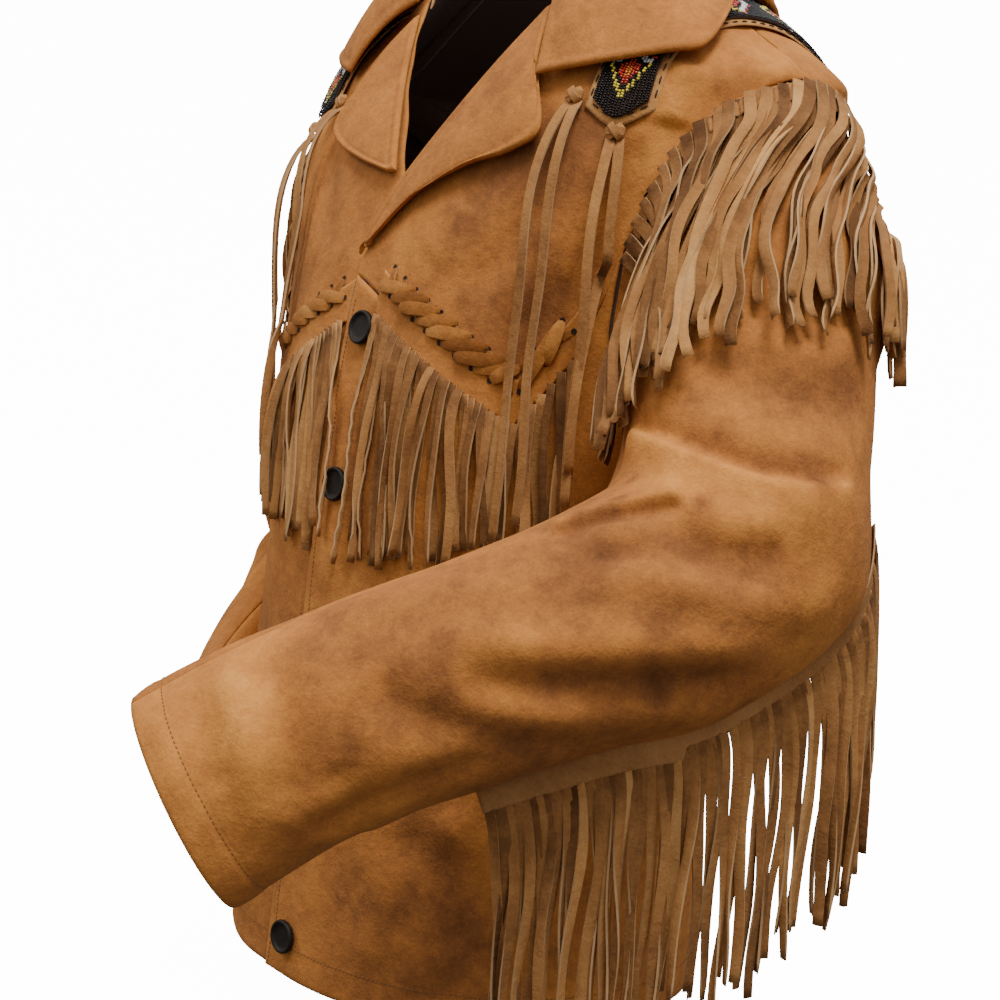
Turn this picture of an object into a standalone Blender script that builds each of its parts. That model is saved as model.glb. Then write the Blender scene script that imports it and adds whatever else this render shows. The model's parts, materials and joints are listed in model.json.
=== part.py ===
"""A fringed suede western jacket, held in the hollow shape it has when it is worn.

Metres, +Z up, front towards -Y, the wearer's left towards +X. The origin is on the
centre line, level with the top of the shoulder seams at the neck.
"""
import math

import bmesh
import bpy
import numpy as np

for old in list(bpy.data.objects):
    bpy.data.objects.remove(old)

# ---------------------------------------------------------------- driving sizes
CLOTH = 0.0020          # suede wall
GAP = 0.0004            # between pieces that meet at a seam
OVERLAY = 0.0029        # how far a piece that lies on a panel starts above the panel's base
LAP = 0.022             # how far each front passes the centre line at the buttons
TUCK = 0.0030           # how far the right front goes under the left one
HEM_Z = -0.705
BUTTON_DIA = 0.023
BUTTON_THICK = 0.0042
BUTTON_TOP_Z = -0.262
BUTTON_PITCH = 0.1038
BUTTON_COUNT = 5
FRINGE_THICK = 0.0050
SLEEVE_FRINGE_DROP = 0.165
ARM_FRINGE_DROP = 0.212
ARM_TOP, ARM_LOW = -0.0865, -0.326     # highest and lowest point of an armhole
ROUND = 32                             # steps round an armhole or a sleeve
TURN = 2 * math.pi / ROUND

# The torso is a stack of superellipse rings; turn is in degrees, the left shoulder forward.
TORSO_COLUMNS = ("z", "half_width", "front_y", "back_y", "power", "turn")
TORSO = (
    (-.705, .178, -.196, .103, 2.10, 0.0),
    (-.600, .175, -.190, .100, 2.10, 0.0),
    (-.480, .178, -.184, .105, 2.10, 0.0),
    (-.370, .186, -.176, .118, 2.15, -0.5),
    (-.260, .197, -.162, .130, 2.25, -1.5),
    (-.180, .210, -.143, .134, 2.40, -3.0),
    (-.125, .224, -.122, .128, 2.45, -4.0),
    (-.088, .226, -.104, .118, 2.40, -4.5),
    (-.060, .185, -.090, .106, 2.30, -4.5),
    (-.030, .135, -.076, .090, 2.25, -4.0),
    (.000, .082, -.062, .070, 2.20, -3.0),
)
# Where front and back panels stop at the armhole: degrees from centre front and centre back.
ARMHOLE_COLUMNS = ("z", "front_angle", "back_angle")
ARMHOLE = (
    (-.322, 84, 84),
    (-.300, 65, 68),
    (-.250, 56, 60),
    (-.200, 55, 59),
    (-.150, 57, 61),
    (-.119, 62, 66),
    (-.103, 70, 72),
    (-.090, 80, 81),
)
# The left front's inner edge above the buttons: the line on which the lapel turns back.
ROLL_COLUMNS = ("x", "z")
ROLL = ((.082, 0.0), (.080, -.018), (.072, -.045), (.055, -.078), (.030, -.120), (-.001, -.171),
        (-.022, -.219), (-.022, -.2275))
# The yoke's laced lower edge, from the front edge down to its point and up to the armhole.
YOKE_COLUMNS = ("x", "z")
YOKE = ((-.022, -.2275), (.005, -.239), (.035, -.255), (.065, -.270), (.095, -.286), (.124, -.301),
        (.140, -.276), (.158, -.243))
# Lapels: a point on the roll line, the point of the free edge across from it, and its lift.
LAPEL_COLUMNS = ("roll_x", "roll_z", "edge_x", "edge_z", "edge_lift")
LAPEL_LEFT = (
    (-.0205, -.2150, -.0150, -.2090, .0045),
    (-.0110, -.1930, .0280, -.1720, .0070),
    (-.001, -.171, .0620, -.1570, .0090),
    (.030, -.120, .1000, -.1450, .0105),
    (.048, -.090, .1150, -.1345, .0110),
    (.072, -.047, .0960, -.0960, .0095),
)
LAPEL_RIGHT = (
    (-.0090, -.1590, -.0160, -.1600, .0045),
    (-.0190, -.1400, -.0560, -.1520, .0055),
    (-.030, -.120, -.0880, -.1430, .0062),
    (-.048, -.090, -.1080, -.1310, .0070),
    (-.072, -.047, -.0930, -.0950, .0090),
)
# The neck seam and the collar's outer edge, for the left half: share of the half, degrees, height.
NECK_COLUMNS = ("share", "angle", "z")
NECK = ((0.00, 24.0, -.0445), (.14, 45.0, -.0180), (.30, 90.0, .0000), (.55, 125.0, .0), (.78, 152.0, .0),
        (1.0, 180.0, .0))
FALL_COLUMNS = ("share", "angle", "z", "lift")
FALL_LEFT = ((0.00, 23.5, -.0985, .0110), (.14, 41.5, -.0885, .0120), (.28, 60.0, -.0820, .0125),
             (.42, 87.0, -.0420, .0130), (.52, 106.0, -.0385, .0120), (.62, 128.0, -.0440, .0085), (.82, 155.0, -.0500, .0060),
             (1.0, 180.0, -.0500, .0060))
FALL_RIGHT = ((0.00, 25.5, -.0910, .0110), (.14, 41.0, -.0800, .0120), (.28, 57.0, -.0710, .0125),
              (.42, 90.0, -.0300, .0110), (.62, 128.0, -.0440, .0080), (.82, 155.0, -.0500, .0060),
              (1.0, 180.0, -.0500, .0060))
STAND_HEIGHT = 0.026
# Sleeves: centre line, half widths towards the hind seam and across it, twist in degrees.
SLEEVE_COLUMNS = ("x", "y", "z", "half_hind", "half_side", "twist")
SLEEVE_LEFT = (
    (.236, -.052, -.215, .072, .074, 0),
    (.258, -.078, -.268, .070, .072, 4),
    (.280, -.103, -.320, .070, .071, 8),
    (.294, -.134, -.374, .077, .069, 14),
    (.274, -.184, -.397, .066, .065, 20),
    (.244, -.234, -.421, .061, .059, 25),
    (.207, -.285, -.447, .060, .052, 28),
    (.171, -.330, -.476, .061, .046, 30),
    (.137, -.373, -.512, .064, .040, 30),
)
SLEEVE_RIGHT = (
    (-.228, .034, -.215, .063, .063, 0),
    (-.239, .041, -.285, .060, .060, 0),
    (-.248, .045, -.350, .059, .058, 0),
    (-.252, .036, -.412, .059, .056, 0),
    (-.248, .006, -.468, .057, .050, 0),
    (-.233, -.036, -.512, .056, .044, 0),
    (-.204, -.083, -.546, .055, .040, 0),
    (-.167, -.131, -.574, .055, .037, 0),
    (-.127, -.175, -.600, .056, .036, 0),
)
SLEEVE_CAP = 3          # rings between the armhole and the sleeve's first section
SLEEVE_ROWS = 10        # rings down the sleeve
# Bead-worked strips over the shoulders: height, half width of the strip; x is the middle.
BEAD_X = 0.157
BEAD_HALF = 0.0165
BEAD_BACKING = 0.0045   # how far the stitched suede backing stands out past the beads
BEAD_FRONT_Z = -0.110
BEAD_BACK_Z = -0.112
# Knotted thongs: knot x and z, foot x and z (left side; the right side is mirrored).
TIE_COLUMNS = ("name", "knot_x", "knot_z", "foot_x", "foot_z")
TIES = (("inner", .1285, -.109, .128, -.385), ("outer", .1600, -.1290, .1480, -.352))
TIE_WIDTH = 0.011
TIE_THICK = 0.0022

SUEDE = (.47, .235, .085, 1)
FRINGE_TAN = (.40, .22, .10, 1)


# ---------------------------------------------------------------- geometry
def curve_through(x, xs, ys):
    """A smooth monotone cubic through a table column."""
    xs, ys = np.asarray(xs, float), np.asarray(ys, float)
    h = np.diff(xs)
    d = np.diff(ys) / h
    m = np.zeros(len(xs))
    m[0], m[-1] = d[0], d[-1]
    for i in range(1, len(xs) - 1):
        if d[i - 1] * d[i] > 0:
            w1, w2 = 2 * h[i] + h[i - 1], h[i] + 2 * h[i - 1]
            m[i] = (w1 + w2) / (w1 / d[i - 1] + w2 / d[i])
    x = np.clip(np.asarray(x, float), xs[0], xs[-1])
    k = np.clip(np.searchsorted(xs, x, side="right") - 1, 0, len(xs) - 2)
    t = (x - xs[k]) / h[k]
    return ((1 + 2 * t) * (1 - t) ** 2 * ys[k] + t * (1 - t) ** 2 * h[k] * m[k]
            + t * t * (3 - 2 * t) * ys[k + 1] + t * t * (t - 1) * h[k] * m[k + 1])


def ring_at(z):
    t = np.array(TORSO)
    return [curve_through(z, t[:, 0], t[:, k]) for k in range(1, 6)]


def torso(theta, z):
    """The torso at an angle from the centre front, towards the wearer's left, at a height."""
    theta, z = np.broadcast_arrays(np.asarray(theta, float), np.asarray(z, float))
    w, yf, yb, n, turn = ring_at(z)
    mid = 0.25 * (yf + yb)
    s, c = np.sin(theta), np.cos(theta)
    x = w * np.sign(s) * np.abs(s) ** (2 / n)
    d = np.where(c > 0, mid - yf, yb - mid)
    y = mid - np.sign(c) * np.abs(c) ** (2 / n) * d
    a = np.radians(turn)
    return np.stack([x * np.cos(a) - y * np.sin(a), x * np.sin(a) + y * np.cos(a), z], -1)


def skin(theta, z, lift=0.0):
    """The torso's surface moved out along its normal by lift."""
    theta, z, lift = np.broadcast_arrays(np.asarray(theta, float), np.asarray(z, float),
                                         np.asarray(lift, float))
    e = 1e-3
    across = torso(theta + e, z) - torso(theta - e, z)
    up = torso(theta, z + e) - torso(theta, z - e)
    n = np.cross(across, up)
    n /= np.linalg.norm(n, axis=-1)[..., None]
    return torso(theta, z) + lift[..., None] * n


def angle_at(x, z):
    """The angle at which the torso's front is at x across, at height z."""
    x, z = np.broadcast_arrays(np.asarray(x, float), np.asarray(z, float))
    lo, hi = np.full(x.shape, -np.pi / 2), np.full(x.shape, np.pi / 2)
    for _ in range(40):
        m = (lo + hi) / 2
        small = torso(m, z)[..., 0] < x
        lo, hi = np.where(small, m, lo), np.where(small, hi, m)
    return m


def front_to_back(x, z):
    """How far back the torso's rear surface is at x across and height z."""
    lo, hi = 0.0, .2
    w, yf, yb, n, turn = ring_at(z)
    a, mid = np.radians(turn), 0.25 * (yf + yb)
    for _ in range(40):
        y = (lo + hi) / 2
        u, v = x * np.cos(a) + y * np.sin(a), -x * np.sin(a) + y * np.cos(a)
        inside = np.abs(u / w) ** n + np.abs((v - mid) / (yb - mid)) ** n < 1
        lo, hi = (y, hi) if inside else (lo, y)
    return y


def on_top(x, y, low):
    """Angle and height, no lower than low, of the torso's surface above a point x across and y deep."""
    x, y, low = np.broadcast_arrays(np.asarray(x, float), np.asarray(y, float), np.asarray(low, float))

    def parts(z):
        w, yf, yb, n, turn = ring_at(z)
        a = np.radians(turn)
        u, v = x * np.cos(a) + y * np.sin(a), -x * np.sin(a) + y * np.cos(a)
        mid = 0.25 * (yf + yb)
        d = np.where(v < mid, mid - yf, yb - mid)
        return (np.abs(u / w) ** (n / 2) * np.sign(u), np.abs((v - mid) / d) ** (n / 2) * np.sign(mid - v))
    lo, hi = np.array(low), np.full(x.shape, -.0005)
    for _ in range(40):
        m = (lo + hi) / 2
        s, c = parts(m)
        inside = s * s + c * c < 1
        lo, hi = np.where(inside, m, lo), np.where(inside, hi, m)
    s, c = parts(m)
    return np.arctan2(s, c), m


def armhole(turn, side):
    """Angle and height of an armhole's edge: turn 0 at the back, a quarter at the top."""
    t = np.array(ARMHOLE)
    turn = np.asarray(turn, float)
    z = (ARM_TOP + ARM_LOW) / 2 + (ARM_TOP - ARM_LOW) / 2 * np.sin(turn)
    rear = np.cos(turn) >= 0
    th = np.radians(np.where(rear, curve_through(z, t[:, 0], t[:, 2]), curve_through(z, t[:, 0], t[:, 1])))
    th = th + (np.pi / 2 - th) * np.clip((np.abs(np.sin(turn)) - .94) / .06, 0, 1) ** 2
    th = np.where(rear, np.pi - th, th)
    return side * th, z


def patch(top, bottom, left, right):
    """A grid of (angle, height) pairs that fills four edges."""
    top, bottom, left, right = (np.array(e, float) for e in (top, bottom, left, right))
    u = np.linspace(0, 1, len(top))[None, :, None]
    v = np.linspace(0, 1, len(left))[:, None, None]
    return ((1 - v) * top[None] + v * bottom[None] + (1 - u) * left[:, None] + u * right[:, None]
            - (1 - u) * (1 - v) * top[0] - u * (1 - v) * top[-1]
            - (1 - u) * v * bottom[0] - u * v * bottom[-1])


def spread(rows, n):
    """n rows, evenly spaced along a smooth curve through a table's rows."""
    r = np.array(rows, float)
    d = np.r_[0, np.cumsum(np.linalg.norm(np.diff(r[:, :3], axis=0), axis=1))]
    s = np.linspace(0, d[-1], n)
    m = np.gradient(r, d, axis=0)
    k = np.clip(np.searchsorted(d, s, side="right") - 1, 0, len(d) - 2)
    h = (d[k + 1] - d[k])[:, None]
    t = (s - d[k])[:, None] / h
    return ((1 + 2 * t) * (1 - t) ** 2 * r[k] + t * (1 - t) ** 2 * h * m[k]
            + t * t * (3 - 2 * t) * r[k + 1] + t * t * (t - 1) * h * m[k + 1])


def press_off_torso(full, rings, gap):
    """Flatten each ring towards its outer side until the whole of it is a gap clear of the torso."""
    done = []
    for whole, ring in zip(full, rings):
        w, yf, yb, n, turn = ring_at(whole[:, 2])
        a = np.radians(turn)
        x = whole[:, 0] * np.cos(a) + whole[:, 1] * np.sin(a)
        y = -whole[:, 0] * np.sin(a) + whole[:, 1] * np.cos(a)
        mid = 0.25 * (yf + yb)
        d = np.where(y < mid, mid - yf, yb - mid) + gap
        q = (np.abs(x / (w + gap)) ** n + np.abs((y - mid) / d) ** n) ** (1 / n)
        need = np.where(q < 1, (1 / np.maximum(q, .3) - 1) * np.hypot(x, y - mid), 0)
        out = whole.mean(axis=0) - (0, mid.mean(), 0)
        out[2] = 0
        out /= np.linalg.norm(out)
        reach = whole @ out
        deep = (reach.max() - reach) / (reach.max() - reach.min())
        k = (need / np.maximum(deep, .05)).max()
        share = (reach.max() - ring @ out) / (reach.max() - reach.min())
        done.append(ring + out * (k * share)[:, None])
    return np.array(done)


def sleeve(rows, side, turns, count=SLEEVE_ROWS, cap=SLEEVE_CAP, reach=.085):
    """Sections from armhole to cuff; turn 0 is the hind seam, half a turn the fore seam."""
    line = spread(rows, count)
    p = line[:, :3]
    tan = np.gradient(p, axis=0)
    tan /= np.linalg.norm(tan, axis=1)[:, None]
    out = p[len(p) * 4 // 9] - .5 * (p[0] + p[-1])          # away from the inside of the elbow
    whole = TURN * np.arange(ROUND)
    centre = torso(*armhole(whole, side)).mean(axis=0)
    go = np.array([side * .80, -.10, -.60])
    go /= np.linalg.norm(go)
    sets = []
    for these in (whole, turns):
        rings = []
        for q, t, row in zip(p, tan, line):
            h = out - t * (out @ t)
            h /= np.linalg.norm(h)
            m = np.cross(t, h) * side
            a = these - np.radians(row[5])
            rings.append(q + np.cos(a)[:, None] * h * row[3] + np.sin(a)[:, None] * m * row[4])
        loop = skin(*armhole(these, side), CLOTH + .0006)
        inward = centre - loop
        loop = loop + inward * ((CLOTH + .0012) / np.linalg.norm(inward, axis=1))[:, None]
        caps = []
        for k in range(cap):
            t = k / cap
            a = (1 + 2 * t) * (1 - t) ** 2 * loop + t * (1 - t) ** 2 * reach * go
            b = t * t * (3 - 2 * t) * rings[0] + t * t * (t - 1) * reach * tan[0]
            caps.append(a + b)
        sets.append(np.array(caps + rings))
    full, g = sets
    g[1:] = press_off_torso(full[1:], g[1:], .0075)
    return g


def along(line, s):
    """Points at lengths s down a polyline."""
    d = np.r_[0, np.cumsum(np.linalg.norm(np.diff(line, axis=0), axis=1))]
    return np.stack([np.interp(s, d, line[:, k]) for k in range(3)], -1)


# ---------------------------------------------------------------- objects
jacket = bpy.data.collections.new("suede_western_jacket")
bpy.context.scene.collection.children.link(jacket)
materials = {}


def material(name, colour, rough):
    if name not in materials:
        m = bpy.data.materials.new(name)
        m.use_nodes = True
        b = m.node_tree.nodes["Principled BSDF"]
        b.inputs["Base Color"].default_value = colour
        b.inputs["Roughness"].default_value = rough
        b.inputs["Metallic"].default_value = 0.0
        materials[name] = m
    return materials[name]


def shell(name, grid, thick, colour=SUEDE, rough=.9, outward=None):
    """An open grid of points given a wall that grows to the side that outward points to."""
    g = np.asarray(grid, float)
    rows, cols = g.shape[:2]
    verts = [tuple(p) for p in g.reshape(-1, 3)]
    faces = [(r * cols + c, r * cols + c + 1, (r + 1) * cols + c + 1, (r + 1) * cols + c)
             for r in range(rows - 1) for c in range(cols - 1)]
    r, c = rows // 2 - (rows > 2 and rows // 2 == rows - 1), cols // 2 - (cols // 2 == cols - 1)
    n = np.cross(g[r, c + 1] - g[r, c], g[r + 1, c] - g[r, c])
    if n @ np.asarray(outward, float) < 0:
        faces = [f[::-1] for f in faces]
    mesh = bpy.data.meshes.new(name)
    mesh.from_pydata(verts, [], faces)
    mesh.update()
    obj = bpy.data.objects.new(name, mesh)
    jacket.objects.link(obj)
    mod = obj.modifiers.new("wall", "SOLIDIFY")
    mod.thickness = thick
    mod.offset = 1.0
    mod.use_quality_normals = True
    obj.data.materials.append(material(name + "_material", colour, rough))
    return obj


def edge_shift(points, dz=0.0, dth=0.0):
    return np.array(points, float) + (dth, dz)


ARM_D = 15              # the armhole step where the yoke's edge meets it
for side, word in ((1, "left"), (-1, "right")):
    def pairs(table):
        t = np.array(table)
        return np.stack([side * angle_at(t[:, 0], t[:, 1]) if side > 0 else
                         angle_at(-t[:, 0], t[:, 1]), t[:, 1]], -1)

    def front_lift(theta, z):
        if side > 0:
            return np.zeros(np.shape(z))
        x = torso(theta, z)[..., 0]
        s = np.clip((x + .060) / .032, 0, 1)
        return -TUCK * s * s * (3 - 2 * s)

    seam = side * (np.pi / 2 - .0035)
    roll = pairs(ROLL)
    roll[0] = (seam, 0.0)
    arm = np.stack(armhole(TURN * np.arange(8, 25), side), -1)      # top, front, bottom
    arm[0, 0] = seam
    arm[-1, 0] = side * (np.pi / 2 - .0025)
    lace = np.vstack([pairs(YOKE), arm[ARM_D - 8]])
    cols = len(lace)
    shoulder = np.stack([np.full(cols, seam), np.linspace(0, ARM_TOP, cols)], -1)
    arm_top = np.stack(armhole(TURN * np.arange(8, ARM_D + .1, .5), side), -1)
    arm_top[0, 0] = seam
    roll_fine = np.stack([np.interp(np.arange(0, 7.1, .5), np.arange(8), roll[:, k]) for k in (0, 1)], -1)
    yoke_pairs = patch(shoulder, lace, roll_fine, arm_top)
    yoke_pairs[-1, :, 1] = lace[:, 1] + .0013
    shell("yoke_" + word, skin(yoke_pairs[..., 0], yoke_pairs[..., 1], front_lift(yoke_pairs[..., 0], yoke_pairs[..., 1])),
          CLOTH, outward=(side * .4, -1, 0))

    down = 6
    side_z = np.linspace(ARM_LOW, HEM_Z, down + 1)[1:]
    right = np.vstack([arm[ARM_D - 8:], np.stack([np.full(down, side * (np.pi / 2 - .0025)), side_z], -1)])
    rows = len(right)
    left_z = np.linspace(lace[0, 1], HEM_Z, rows)
    left = np.stack([np.array([angle_at(-LAP if side > 0 else LAP, z) for z in left_z]), left_z], -1)
    hem = np.stack([np.linspace(left[-1, 0], right[-1, 0], cols), np.full(cols, HEM_Z)], -1)
    front_pairs = patch(lace, hem, left, right)
    front_pairs[0, :, 1] = lace[:, 1] - .0005
    shell("front_" + word, skin(front_pairs[..., 0], front_pairs[..., 1], front_lift(front_pairs[..., 0], front_pairs[..., 1])),
          CLOTH, outward=(side * .4, -1, 0))

    # lapel, laid on the yoke and standing off it towards its free edge
    table = np.array(LAPEL_LEFT if side > 0 else LAPEL_RIGHT)
    steps = 5
    t = np.linspace(0, 1, steps)[None, :]
    lx = table[:, 0:1] * (1 - t) + table[:, 2:3] * t
    lz = table[:, 1:2] * (1 - t) + table[:, 3:4] * t
    base = OVERLAY + .0004
    lift = base + (table[:, 4:5] - base) * (t * (2 - t))
    shell("lapel_" + word, skin(angle_at(lx, lz), lz, lift), .0026, outward=(side * .3, -1, 0))

    # the yoke's fringed strip, from the laced edge down to the ends of the strands
    head_x = np.array([.016, .040, .065, .095, .122, .136, .148])
    t = np.array(YOKE)
    head_z = np.interp(head_x, t[:, 0], t[:, 1]) - .0030
    foot_x = np.array([.018, .042, .067, .092, .114, .130, .143])
    foot_z = np.array([-.412, -.408, -.402, -.398, -.392, -.388, -.384])
    if side < 0:
        head_x, foot_x = -head_x, -foot_x
        head_x[0] = foot_x[0] = -.026
    v = np.linspace(0, 1, 5)[:, None]
    fx = head_x * (1 - v) + foot_x * v
    fz = head_z * (1 - v) + foot_z * v
    shell("fringe_yoke_" + word, skin(angle_at(fx, fz), fz, OVERLAY), FRINGE_THICK, FRINGE_TAN,
          outward=(side * .3, -1, 0))

    # knotted thongs that hang over the yoke and its fringe
    for name, kx, kz, ex, ez in TIES:
        z = np.array([kz, kz - .030, kz - .070, -.225, -.262, -.300, -.340, ez])
        z = np.sort(z)[::-1]
        mid_x = np.interp(-z, (-kz, -ez), (kx, ex))
        high = np.clip((-z - .215) / .040, 0, 1)
        lift = OVERLAY + .0002 + (FRINGE_THICK + .0012) * high * high * (3 - 2 * high)
        tx = np.stack([mid_x - TIE_WIDTH / 2, mid_x + TIE_WIDTH / 2], -1) * side
        tz = np.stack([z, z], -1)
        shell("tie_%s_%s" % (word, name), skin(angle_at(tx, tz), tz, lift[:, None]), TIE_THICK,
              outward=(side * .3, -1, 0))

    # bead-worked strip and its backing, from the front over the shoulder to the back
    for name, grow, low, thick, colour in (("bead_back_", BEAD_BACKING, OVERLAY + .0012, .0012, SUEDE),
                                           ("bead_strip_", 0.0, OVERLAY + .0034, .0018, (.02, .02, .02, 1))):
        half = BEAD_HALF + grow
        strip = []
        for x, tip in ((BEAD_X - half, 0.0), (BEAD_X, .0110), (BEAD_X + half, 0.0)):
            zf, zb = BEAD_FRONT_Z - grow - tip, BEAD_BACK_Z - grow - tip
            front = torso(angle_at(side * x, zf), zf)[1]
            rear = front_to_back(side * x, zb)
            t = .5 - .5 * np.cos(np.pi * np.linspace(0, 1, 15))
            strip.append(np.stack(on_top(side * x, front + (rear - front) * t, np.where(t < .5, zf, zb)), -1))
        strip = np.array(strip).transpose(1, 0, 2)
        shell(name + word, skin(strip[..., 0], strip[..., 1], low), thick, colour, .6,
              outward=(side * .3, 0, 1))

    # two-piece sleeve: the top sleeve and the under sleeve meet at the hind and fore seams
    table = SLEEVE_LEFT if side > 0 else SLEEVE_RIGHT
    small = .007
    top_turns = TURN * np.arange(0, 17)
    top_turns[0], top_turns[-1] = small, np.pi - small
    low_turns = TURN * np.arange(16, 33)
    low_turns[0], low_turns[-1] = np.pi + small, 2 * np.pi - small
    for name, turns in (("top", top_turns), ("under", low_turns)):
        g = sleeve(table, side, turns)
        r, c = g.shape[0] // 2, g.shape[1] // 2
        centre = sleeve(table, side, TURN * np.arange(ROUND))[r].mean(axis=0)
        shell("sleeve_%s_%s" % (word, name), g, CLOTH, outward=g[r, c] - centre)

    # armhole fringe: from the seam down over the top of the sleeve
    turns = TURN * np.arange(0, 17)
    under = sleeve(table, side, turns)
    across = np.gradient(under, axis=1)
    along_arm = np.gradient(under, axis=0)
    n = np.cross(across, along_arm) * side
    n /= np.linalg.norm(n, axis=2)[..., None]
    over = under + n * (.0034 if side > 0 else .0052)
    d = np.concatenate([np.zeros((1, len(turns))), np.cumsum(np.linalg.norm(np.diff(over, axis=0), axis=2), axis=0)])
    g = []
    for k in range(6):
        reach = np.minimum(d[k] if k else .012, ARM_FRINGE_DROP - .004 * (5 - k))
        g.append(np.stack([[np.interp(reach[c] if k else .012, d[:, c], over[:, c, i]) for i in range(3)]
                           for c in range(len(turns))]))
    g = np.array(g)
    shell("fringe_armhole_" + word, g, FRINGE_THICK, FRINGE_TAN, outward=(side, -.2, .4))

    # sleeve fringe: hangs straight down from the hind seam
    hind = sleeve(table, side, np.array([0.0]))[:, 0]
    body = sleeve(table, side, TURN * np.arange(ROUND))
    first, last = (.290, .565) if side > 0 else (.260, .425)
    stations = np.linspace(first, last, 9)
    head = along(hind, stations)
    centres = along(body.mean(axis=1), stations * (np.linalg.norm(np.diff(body.mean(axis=1), axis=0), axis=1).sum()
                                                  / np.linalg.norm(np.diff(hind, axis=0), axis=1).sum()))
    away = head - centres
    away /= np.linalg.norm(away, axis=1)[:, None]
    run = np.gradient(head, axis=0)
    level = np.stack([-run[:, 1], run[:, 0], np.zeros(len(run))], -1)
    level /= np.linalg.norm(level, axis=1)[:, None]
    level *= np.sign(level[:, 0:1] * side)
    top = head + away * .0050 + level * .0040
    drops = np.array([0.0, .055, .110, SLEEVE_FRINGE_DROP])
    g = np.array([top + (0, 0, -d) + level * .010 * (d / SLEEVE_FRINGE_DROP) for d in drops])
    shell("fringe_sleeve_" + word, g, FRINGE_THICK, FRINGE_TAN, outward=(side, 0, 0))

# back: hem to neck, between the side and shoulder seams
down = 6
arm_left = np.stack(armhole(TURN * np.arange(8, -9, -1), 1), -1)    # top, back, bottom
arm_left[0, 0] = np.pi / 2 + .0035
arm_left[-1, 0] = np.pi / 2 + .0025
shoulder_z = np.linspace(0, ARM_TOP, 6)[:-1]
edge = np.vstack([np.stack([np.full(5, np.pi / 2 + .0035), shoulder_z], -1), arm_left,
                  np.stack([np.full(down, np.pi / 2 + .0025), np.linspace(ARM_LOW, HEM_Z, down + 1)[1:]], -1)])
cols = 10
u = np.linspace(0, 1, cols)[None, :]
theta = edge[:, 0:1] + (2 * np.pi - 2 * edge[:, 0:1]) * u
shell("back", skin(theta, np.repeat(edge[:, 1:2], cols, axis=1)), CLOTH, outward=(0, 1, 0))

# collar: a stand round the neck and a fall turned over it
t = np.array(NECK)
shares = np.array([0, .07, .14, .22, .30, .42, .55, .78, 1.0])
neck_z = np.interp(shares, t[:, 0], t[:, 2])


def neck_half(side, shares):
    """Angles of the neck seam: on the roll line in front, then by the table's angles."""
    z = np.interp(shares, t[:, 0], t[:, 2])
    r = np.array(ROLL)
    x = np.interp(-z, -r[:3, 1], r[:3, 0])
    front = angle_at(side * x * .999, np.minimum(z, -1e-4)) * side
    th = np.where(shares < .28, front, np.radians(np.interp(shares, t[:, 0], t[:, 1])))
    return (th if side > 0 else 2 * np.pi - th), z


l_th, l_z = neck_half(1, shares)
r_th, r_z = neck_half(-1, shares)
th, z = np.r_[l_th, r_th[::-1][1:]], np.r_[l_z, r_z[::-1][1:]]
foot = torso(th, z)
inner = foot * (.975, .975, 1) + (0, 0, .0050)
grow = 1 - np.abs(np.linspace(-1, 1, len(th))) ** 8
rise = .006 + (STAND_HEIGHT - .006) * grow
crest = foot + np.stack([0 * th, 0 * th, .0042 + rise], -1) * 1.0
crest[:, :2] *= 0.965
shell("collar_stand", np.array([inner, .5 * (inner + crest), crest]), CLOTH, outward=foot[2] - (0, 0, 0))

fall = []
for table in (FALL_LEFT, FALL_RIGHT):
    f = np.array(table)
    s = np.array([0, .07, .14, .21, .28, .35, .42, .52, .62, .82, 1.0])
    th = np.radians(np.interp(s, f[:, 0], f[:, 1]))
    z = np.interp(s, f[:, 0], f[:, 2])
    lift = np.interp(s, f[:, 0], f[:, 3])
    nth, nz = neck_half(1 if table is FALL_LEFT else -1, s)
    fall.append((th, z, lift, nth, nz))
(l_th, l_z, l_lift, l_nth, l_nz), (r_th, r_z, r_lift, r_nth, r_nz) = fall
edge_th = np.r_[l_th, 2 * np.pi - r_th[::-1][1:]]
edge_z = np.r_[l_z, r_z[::-1][1:]]
edge_lift = np.r_[l_lift, r_lift[::-1][1:]]
root_th = np.r_[l_nth, r_nth[::-1][1:]]
root_z = np.r_[l_nz, r_nz[::-1][1:]]
grow = 1 - np.abs(np.linspace(-1, 1, len(edge_th))) ** 8
root = torso(root_th, root_z)
out2 = root * (1, 1, 0)
out2 /= np.linalg.norm(out2, axis=1)[:, None]
start = root + out2 * .0050 + np.stack([0 * grow, 0 * grow, .0095 + (STAND_HEIGHT - .004) * grow], -1)
end = skin(edge_th, edge_z, edge_lift)
bend = start + out2 * .012 + (end - start) * .35 + np.stack([0 * grow, 0 * grow, .010 * (.3 + grow)], -1)
v = np.linspace(0, 1, 6)[:, None, None]
g = (1 - v) ** 2 * start + 2 * v * (1 - v) * bend + v * v * end
shell("collar", g, .0026, outward=(0, 1, .5))

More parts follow.
